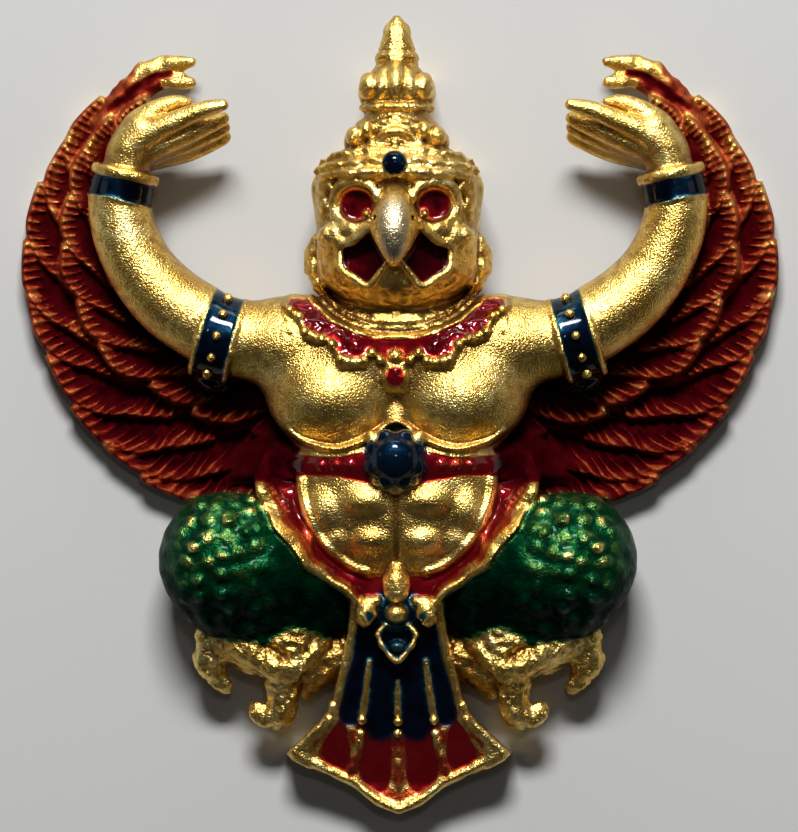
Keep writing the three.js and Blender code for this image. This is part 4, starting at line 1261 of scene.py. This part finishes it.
def surface_attributes(clay, places, corners, normals):
    """What the finish reads at each corner: the enamel's depth and colours, the wear, and the painted shade
    in hollows, on steep sides, under the chin and on the lower fingers.
    """
    x, y, z = corners.T / UNIT
    thickness = np.clip(sampled(whole(clay.gold), places) - 0.03, 0, 3)
    film = sampled(whole(clay.film), places) * eased(normals[:, 2], -0.2, 0.3)
    attributes = tints(clay, places)
    attributes["enamel"] = np.maximum(thickness, film) * attributes.pop("any")
    worn = eased(z, 20.8, 22.6) * eased(y, 17, 19) * (1 - eased(np.abs(x), 1.2, 2.2))
    attributes["wear"] = 0.75 * worn
    # Painted shade: the gold darkens in recesses and on steep sides, and more under the chin and on the lower
    # fingers.
    near = sampled(whole(blurred(clay.face, 0.7, True)), places)
    wide = sampled(whole(blurred(clay.face, 1.8, True)), places)
    side_and_spot_shade = 0.24 * eased(1 - normals[:, 2], 0.35, 0.95) + 0.4 * painted_shade_spots(x, y, z)
    attributes["hollow"] = np.clip(0.55 - 1.1 * near - 0.35 * wide + side_and_spot_shade, 0, 1)
    return attributes


def cast(clay, material):
    """The clay's surface as pieces, each with its part's name and the one finish given."""
    places, quads = surface_of(clay)
    normals = normals_at(whole(clay.face), places)
    corners = (places + clay.first) * GRAIN * UNIT
    corners[:, 2] = np.maximum(corners[:, 2], 0)
    attributes = surface_attributes(clay, places, corners, normals)
    quad_owner = nearest(whole(clay.owner), places)[quads[:, 0]]
    middle = corners[quads, 0].mean(1)
    pieces = []
    for part, (name, slot, paired) in PARTS.items():
        sides = ((-1, "_left"), (1, "_right")) if paired else ((0, ""),)
        for side, ending in sides:
            mine = (quad_owner == part) & ((middle > 0) == (side > 0) if side else True)
            mesh = piece_mesh(name + ending, corners, quads[mine], normals, attributes, material)
            pieces.append(add_piece(mesh))
    return pieces


# Finishes

class Wire:
    """A socket that takes part in sums: an expression on wires adds its Math nodes."""

    def __init__(self, tree, socket=None):
        self.tree = tree
        self.socket = socket

    def add(self, kind, settings=None, inputs=None, out=0):
        """Adds a node: its settings first, then the values or wires of its sockets."""
        node = self.tree.nodes.new(kind)
        for name, value in (settings or {}).items():
            if name == "stops":
                set_stops(node.color_ramp, value)
            else:
                setattr(node, name, value)
        for key, value in (inputs or {}).items():
            if isinstance(value, Wire):
                self.tree.links.new(value.socket, node.inputs[key])
            else:
                node.inputs[key].default_value = value
        return Wire(self.tree, node.outputs[out] if node.outputs else None)

    def attribute(self, name):
        return self.add("ShaderNodeAttribute", {"attribute_name": name}, out=2)

    def noise(self, place, size, detail, rough=0.5):
        """Noise whose lumps are about this many units wide."""
        inputs = {"Vector": place, "Scale": 1 / (size * UNIT), "Detail": detail, "Roughness": rough}
        return self.add("ShaderNodeTexNoise", {}, inputs)

    def math(self, operation, first, second):
        return self.add("ShaderNodeMath", {"operation": operation}, {0: first, 1: second})

    def __add__(self, other):
        return self.math("ADD", self, other)

    def __sub__(self, other):
        return self.math("SUBTRACT", self, other)

    def __rsub__(self, other):
        return self.math("SUBTRACT", other, self)

    def __mul__(self, other):
        return self.math("MULTIPLY", self, other)

    __radd__ = __add__
    __rmul__ = __mul__

    def ramp(self, low, high, start=0.0, end=1.0):
        """Eases from start to end while this wire goes from low to high."""
        settings = {"interpolation_type": "SMOOTHSTEP"}
        return self.add("ShaderNodeMapRange", settings, {0: self, 1: low, 2: high, 3: start, 4: end})

    def colours(self, stops):
        return self.add("ShaderNodeValToRGB", {"stops": stops}, {0: self})

    def mixed(self, first, second):
        """The mix of two colours by this wire."""
        return self.add("ShaderNodeMix", {"data_type": "RGBA"}, {0: self, 6: first, 7: second}, 2)


def set_stops(ramp, stops):
    while len(ramp.elements) < len(stops):
        ramp.elements.new(1.0)
    for element, (place, colour) in zip(ramp.elements, stops):
        element.position = place
        element.color = (*colour, 1.0)


GOLD = (0.88, 0.60, 0.15)
PALE_GOLD = (0.96, 0.76, 0.30)
DEEP_GOLD = (0.70, 0.40, 0.08)
WORN_GOLD = (0.56, 0.49, 0.35)
# The dark gold of the painted shade.
PAINTED_SHADE_GOLD = (0.34, 0.19, 0.05)
PIT_GOLD = (0.62, 0.38, 0.10)


def cast_metal(wire, place):
    """Colour, roughness and height of the gilt cast surface."""
    grain = wire.noise(place, 0.22, 1.0)
    pits = wire.noise(place, 1.3, 2.0, 0.6)
    patches = wire.noise(place, 7.0, 2.0, 0.6)
    colour = patches.colours([(0.3, DEEP_GOLD), (0.5, GOLD), (0.7, PALE_GOLD)])
    colour = pits.ramp(0.35, 0.55).mixed((*PIT_GOLD, 1), colour)
    colour = wire.attribute("wear").mixed(colour, (*WORN_GOLD, 1))
    # Painted shade: the gold turns dark brown in recesses, on steep sides, under the chin and on the lower
    # fingers.
    colour = wire.attribute("hollow").ramp(0.45, 0.95).mixed(colour, (*PAINTED_SHADE_GOLD, 1))
    roughness = 0.27 + grain.ramp(0.3, 0.7) * 0.06 + patches.ramp(0.35, 0.65) * 0.06
    height = grain * 0.9 + pits * 0.4
    return colour, roughness, height


def add_enamel(wire, place, inputs, height):
    """Lays the enamels over the metal. The enamel attribute is how deep they lie, and the wing, green
    and blue attributes are how far those take the place of red."""
    wing, green, blue = (wire.attribute(name) for name in ("wing", "green", "blue"))
    depth = wire.attribute("enamel") * wire.noise(place, 2.2, 3.0).ramp(0.3, 0.7, 0.6, 1.45)
    cover = depth.ramp(0.01, 0.1)
    tone = depth * (1 / DEEPEST)
    glass = tone.colours(in_tone(RED_STOPS))
    for share, stops in ((wing, WING_STOPS), (green, GREEN_STOPS), (blue, BLUE_STOPS)):
        glass = share.mixed(glass, tone.colours(in_tone(stops)))
    inputs["Base Color"] = cover.mixed(inputs["Base Color"], glass)
    inputs["Metallic"] = 1 - depth.ramp(0.05, 0.9, 0.0, 0.8)
    inputs["Roughness"] = inputs["Roughness"] + cover * (0.1 + wing * 0.24)
    inputs["Coat Weight"] = cover * (0.9 - wing * 0.9 - green * 0.8 - blue * 0.35)
    stipple = wire.noise(place, 0.6, 2.0)
    return height * depth.ramp(0.0, 0.5, 1.0, 0.25) + stipple * green * 1.6


def in_tone(stops):
    return [(deep / DEEPEST, tint) for deep, tint in stops]


def finish(name, enamelled=False):
    """Gilt metal, with or without enamel over it."""
    material = bpy.data.materials.new(name)
    material.use_nodes = True
    tree = material.node_tree
    tree.nodes.clear()
    wire = Wire(tree)
    place = wire.add("ShaderNodeTexCoord", out=3)
    colour, roughness, height = cast_metal(wire, place)
    inputs = {"Base Color": colour, "Roughness": roughness, "Metallic": 1.0}
    if enamelled:
        height = add_enamel(wire, place, inputs, height)
    bumped = {"Strength": 0.7, "Distance": 0.2 * UNIT, "Height": height}
    inputs["Normal"] = wire.add("ShaderNodeBump", {}, bumped)
    shader = wire.add("ShaderNodeBsdfPrincipled", {}, inputs)
    principled = shader.socket.node
    principled.inputs["Specular IOR Level"].default_value = 0.0
    principled.inputs["Coat Roughness"].default_value = 0.06
    principled.inputs["Coat IOR"].default_value = 1.42
    wire.add("ShaderNodeOutputMaterial", {}, {"Surface": shader})
    return material


DEEPEST = 2.4
RED_STOPS = [(0, (0.74, 0.28, 0.06)), (0.12, (0.44, 0.06, 0.016)), (0.3, (0.18, 0.005, 0.006)),
             (0.6, (0.09, 0.001, 0.003)), (1.0, (0.048, 0.0005, 0.002)), (1.6, (0.022, 0.0, 0.0012)),
             (2.4, (0.012, 0.0, 0.001))]
WING_STOPS = [(0, (0.62, 0.24, 0.06)), (0.07, (0.46, 0.13, 0.036)), (0.16, (0.31, 0.05, 0.016)),
              (0.3, (0.12, 0.006, 0.004)), (0.6, (0.04, 0.001, 0.002)), (2.4, (0.012, 0.0, 0.001))]
GREEN_STOPS = [(0, (0.46, 0.46, 0.16)), (0.12, (0.07, 0.17, 0.04)), (0.3, (0.003, 0.05, 0.015)),
               (0.6, (0.0005, 0.017, 0.006)), (1.0, (0.0, 0.010, 0.004)), (2.4, (0.0, 0.003, 0.0015))]
BLUE_STOPS = [(0, (0.24, 0.42, 0.34)), (0.12, (0.02, 0.10, 0.12)), (0.3, (0.002, 0.012, 0.028)),
              (0.6, (0.0006, 0.0024, 0.008)), (1.2, (0.0004, 0.001, 0.003)), (2.4, (0.0, 0.0007, 0.002))]


# Beads: small balls along a line, made by Geometry Nodes

def bead_tree(material):
    tree = bpy.data.node_groups.new("beads_along_line", "GeometryNodeTree")
    given = {"Line": "Geometry", "Count": "Int", "Radius": "Float", "Unevenness": "Float"}
    for name, kind in given.items():
        tree.interface.new_socket(name, in_out="INPUT", socket_type="NodeSocket" + kind)
    tree.interface.new_socket("Beads", in_out="OUTPUT", socket_type="NodeSocketGeometry")
    wire = Wire(tree)
    group = wire.add("NodeGroupInput").socket.node
    sockets = {name: Wire(tree, group.outputs[name]) for name in given}
    curve = wire.add("GeometryNodeMeshToCurve", {}, {"Mesh": sockets["Line"]})
    points = wire.add("GeometryNodeCurveToPoints", {"mode": "COUNT"},
                      {"Curve": curve, "Count": sockets["Count"]})
    ball_mesh = wire.add("GeometryNodeMeshIcoSphere", {}, {"Radius": 1.0, "Subdivisions": 3})
    lumpy = wire.add("ShaderNodeTexNoise", {}, {"Scale": 1.1, "Detail": 1.0}, 1)
    centred = wire.add("ShaderNodeVectorMath", {"operation": "SUBTRACT"}, {0: lumpy, 1: (0.5, 0.5, 0.5)})
    offset = wire.add("ShaderNodeVectorMath", {"operation": "SCALE"}, {0: centred, "Scale": 0.5})
    nugget = wire.add("GeometryNodeSetPosition", {}, {"Geometry": ball_mesh, "Offset": offset})
    smooth = wire.add("GeometryNodeSetShadeSmooth", {}, {0: nugget})
    turned = wire.add("FunctionNodeRandomValue", {"data_type": "FLOAT_VECTOR"},
                      {0: (0.0, 0.0, 0.0), 1: (6.28, 6.28, 6.28), "Seed": 11}, 0)
    spread = wire.add("FunctionNodeRandomValue", {"data_type": "FLOAT"},
                      {2: 1 - sockets["Unevenness"], 3: 1 + sockets["Unevenness"], "Seed": 7}, 1)
    placed = wire.add("GeometryNodeInstanceOnPoints", {},
                      {"Points": points, "Instance": smooth, "Rotation": turned,
                       "Scale": sockets["Radius"] * spread})
    real = wire.add("GeometryNodeRealizeInstances", {}, {"Geometry": placed})
    finished = wire.add("GeometryNodeSetMaterial", {}, {"Geometry": real, "Material": material})
    wire.add("NodeGroupOutput", {}, {"Beads": finished})
    return tree


def bead_row(name, tree, line, count, radius, uneven=0.1):
    """One row of beads along the line, as a plain mesh."""
    mesh = bpy.data.meshes.new(name + "_line")
    places = [tuple(c * UNIT for c in place) for place in line]
    mesh.from_pydata(places, [(i, i + 1) for i in range(len(line) - 1)], [])
    holder = bpy.data.objects.new(name, mesh)
    bpy.context.scene.collection.objects.link(holder)
    modifier = holder.modifiers.new("beads", "NODES")
    modifier.node_group = tree
    values = {"Count": count, "Radius": radius * UNIT, "Unevenness": uneven}
    for item in tree.interface.items_tree:
        if item.in_out == "INPUT" and item.name in values:
            modifier[item.identifier] = values[item.name]
    graph = bpy.context.evaluated_depsgraph_get()
    made = bpy.data.meshes.new_from_object(holder.evaluated_get(graph))
    holder.modifiers.remove(modifier)
    holder.data = made
    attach(holder, "root")
    return holder


def around_band(band, radius, low, high):
    """Places on a band's round, between two angles from its front."""
    (cx, cy, cz), axis = band
    ax, ay = np.array(axis) / np.hypot(*axis)
    turns = np.radians(np.linspace(low, high, 6))
    return [(cx - ay * radius * math.sin(a), cy + ax * radius * math.sin(a), cz + radius * math.cos(a))
            for a in turns]


def mirrored_line(line):
    return [(-x, y, z) for x, y, z in line]


def bead_rows(tree):
    armlet = around_band(ARMLET, 5.6, -62, 4) + around_band(ARMLET, 5.35, 16, 62)
    rows = {"armlet_beads": (armlet, 5, 0.62)}
    for tag, upper, lower in (("edge", (-8.1, -36.2), (-8.6, -37.8)),
                              ("side", (-4.5, -38.0), (-4.7, -39.7)),
                              ("middle", (0, -38.2), (0, -39.7))):
        line = [(x, y, tail_height(y) + 0.15) for x, y in (upper, lower)]
        rows["tail_beads_" + tag] = (line, 2, 0.6)
    for name, (line, count, radius) in rows.items():
        bead_row(name + "_left", tree, line, count, radius)
        if "middle" not in name:
            bead_row(name + "_right", tree, mirrored_line(line), count, radius)
    ring = [round_head(turn, 4.15, 38.4) for turn in range(-90, 91, 10)]
    bead_row("crown_beads", tree, ring, 11, 0.5, 0.25)


# Stage, lights and camera

def stage_floor():
    mesh = bpy.data.meshes.new("floor")
    half = 0.6
    corners = [(-half, -half, 0), (half, -half, 0), (half, half, 0), (-half, half, 0)]
    mesh.from_pydata(corners, [], [(0, 1, 2, 3)])
    floor = bpy.data.objects.new("floor", mesh)
    bpy.context.scene.collection.objects.link(floor)
    material = bpy.data.materials.new("pale_floor")
    material.use_nodes = True
    shader = material.node_tree.nodes["Principled BSDF"]
    shader.inputs["Base Color"].default_value = (0.42, 0.42, 0.41, 1)
    shader.inputs["Roughness"].default_value = 0.9
    mesh.materials.append(material)


LAMP_AIM = Vector((0, 0, 0.003))     # where the lamps point, in metres


def area_light(name, place, size, power):
    """A lamp at this place in metres, with its width and height."""
    data = bpy.data.lights.new(name, "AREA")
    data.shape = "RECTANGLE"
    data.size, data.size_y = size
    data.energy = power
    lamp = bpy.data.objects.new(name, data)
    lamp.location = place
    lamp.rotation_mode = "QUATERNION"
    lamp.rotation_quaternion = (Vector(place) - LAMP_AIM).to_track_quat("Z", "Y")
    bpy.context.scene.collection.objects.link(lamp)


def lights():
    area_light("key", (0.0, 0.15, 0.17), (0.08, 0.04), 0.82)
    area_light("front", (0.02, 0.06, 0.3), (0.03, 0.02), 0.035)
    area_light("top_rim", (0.0, 0.2, 0.05), (0.16, 0.03), 0.09)
    for name, x in (("fill_left", -0.2), ("fill_right", 0.2)):
        area_light(name, (x, 0.04, 0.10), (0.06, 0.1), 0.012)
    world = bpy.data.worlds.new("studio")
    world.use_nodes = True
    background = world.node_tree.nodes["Background"]
    background.inputs["Color"].default_value = (0.9, 0.95, 1.0, 1)
    background.inputs["Strength"].default_value = 0.03
    bpy.context.scene.world = world
    bpy.context.scene.view_settings.view_transform = "Standard"


PIXEL = UNIT / 7.98                  # metres in one pixel of the photograph's frame
FRAME_HEIGHT = 832 * PIXEL
FIGURE_OFF = 0.5 * PIXEL             # how far the figure's middle lies left of the frame's
AIM_HEIGHT = 0.0018                  # over the back, where the camera looks, in metres
CAMERA_AWAY = 0.35                   # metres
SENSOR = 36                          # millimetres


def camera():
    """Over the figure as it lies, leaning a little to the figure's left."""
    data = bpy.data.cameras.new("camera")
    data.sensor_width = SENSOR
    data.lens = SENSOR * CAMERA_AWAY / FRAME_HEIGHT
    data.clip_start, data.clip_end = 0.01, 5
    lens = bpy.data.objects.new("camera", data)
    lean = math.radians(2.2)
    target = Vector((FIGURE_OFF, 0, AIM_HEIGHT))
    back = Vector((math.sin(lean), 0, math.cos(lean)))
    lens.location = target + back * CAMERA_AWAY
    lens.rotation_mode = "QUATERNION"
    right = Vector((math.cos(lean), 0, -math.sin(lean)))
    lens.rotation_quaternion = Matrix((right, Vector((0, 1, 0)), back)).transposed().to_quaternion()
    bpy.context.scene.collection.objects.link(lens)
    bpy.context.scene.camera = lens


def build():
    pieces = cast(modelled(), finish("enamelled_gilt", True))
    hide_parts("garuda_figure")
    bead_rows(bead_tree(finish("gilt_metal")))
    stage_floor()
    lights()
    camera()


build()
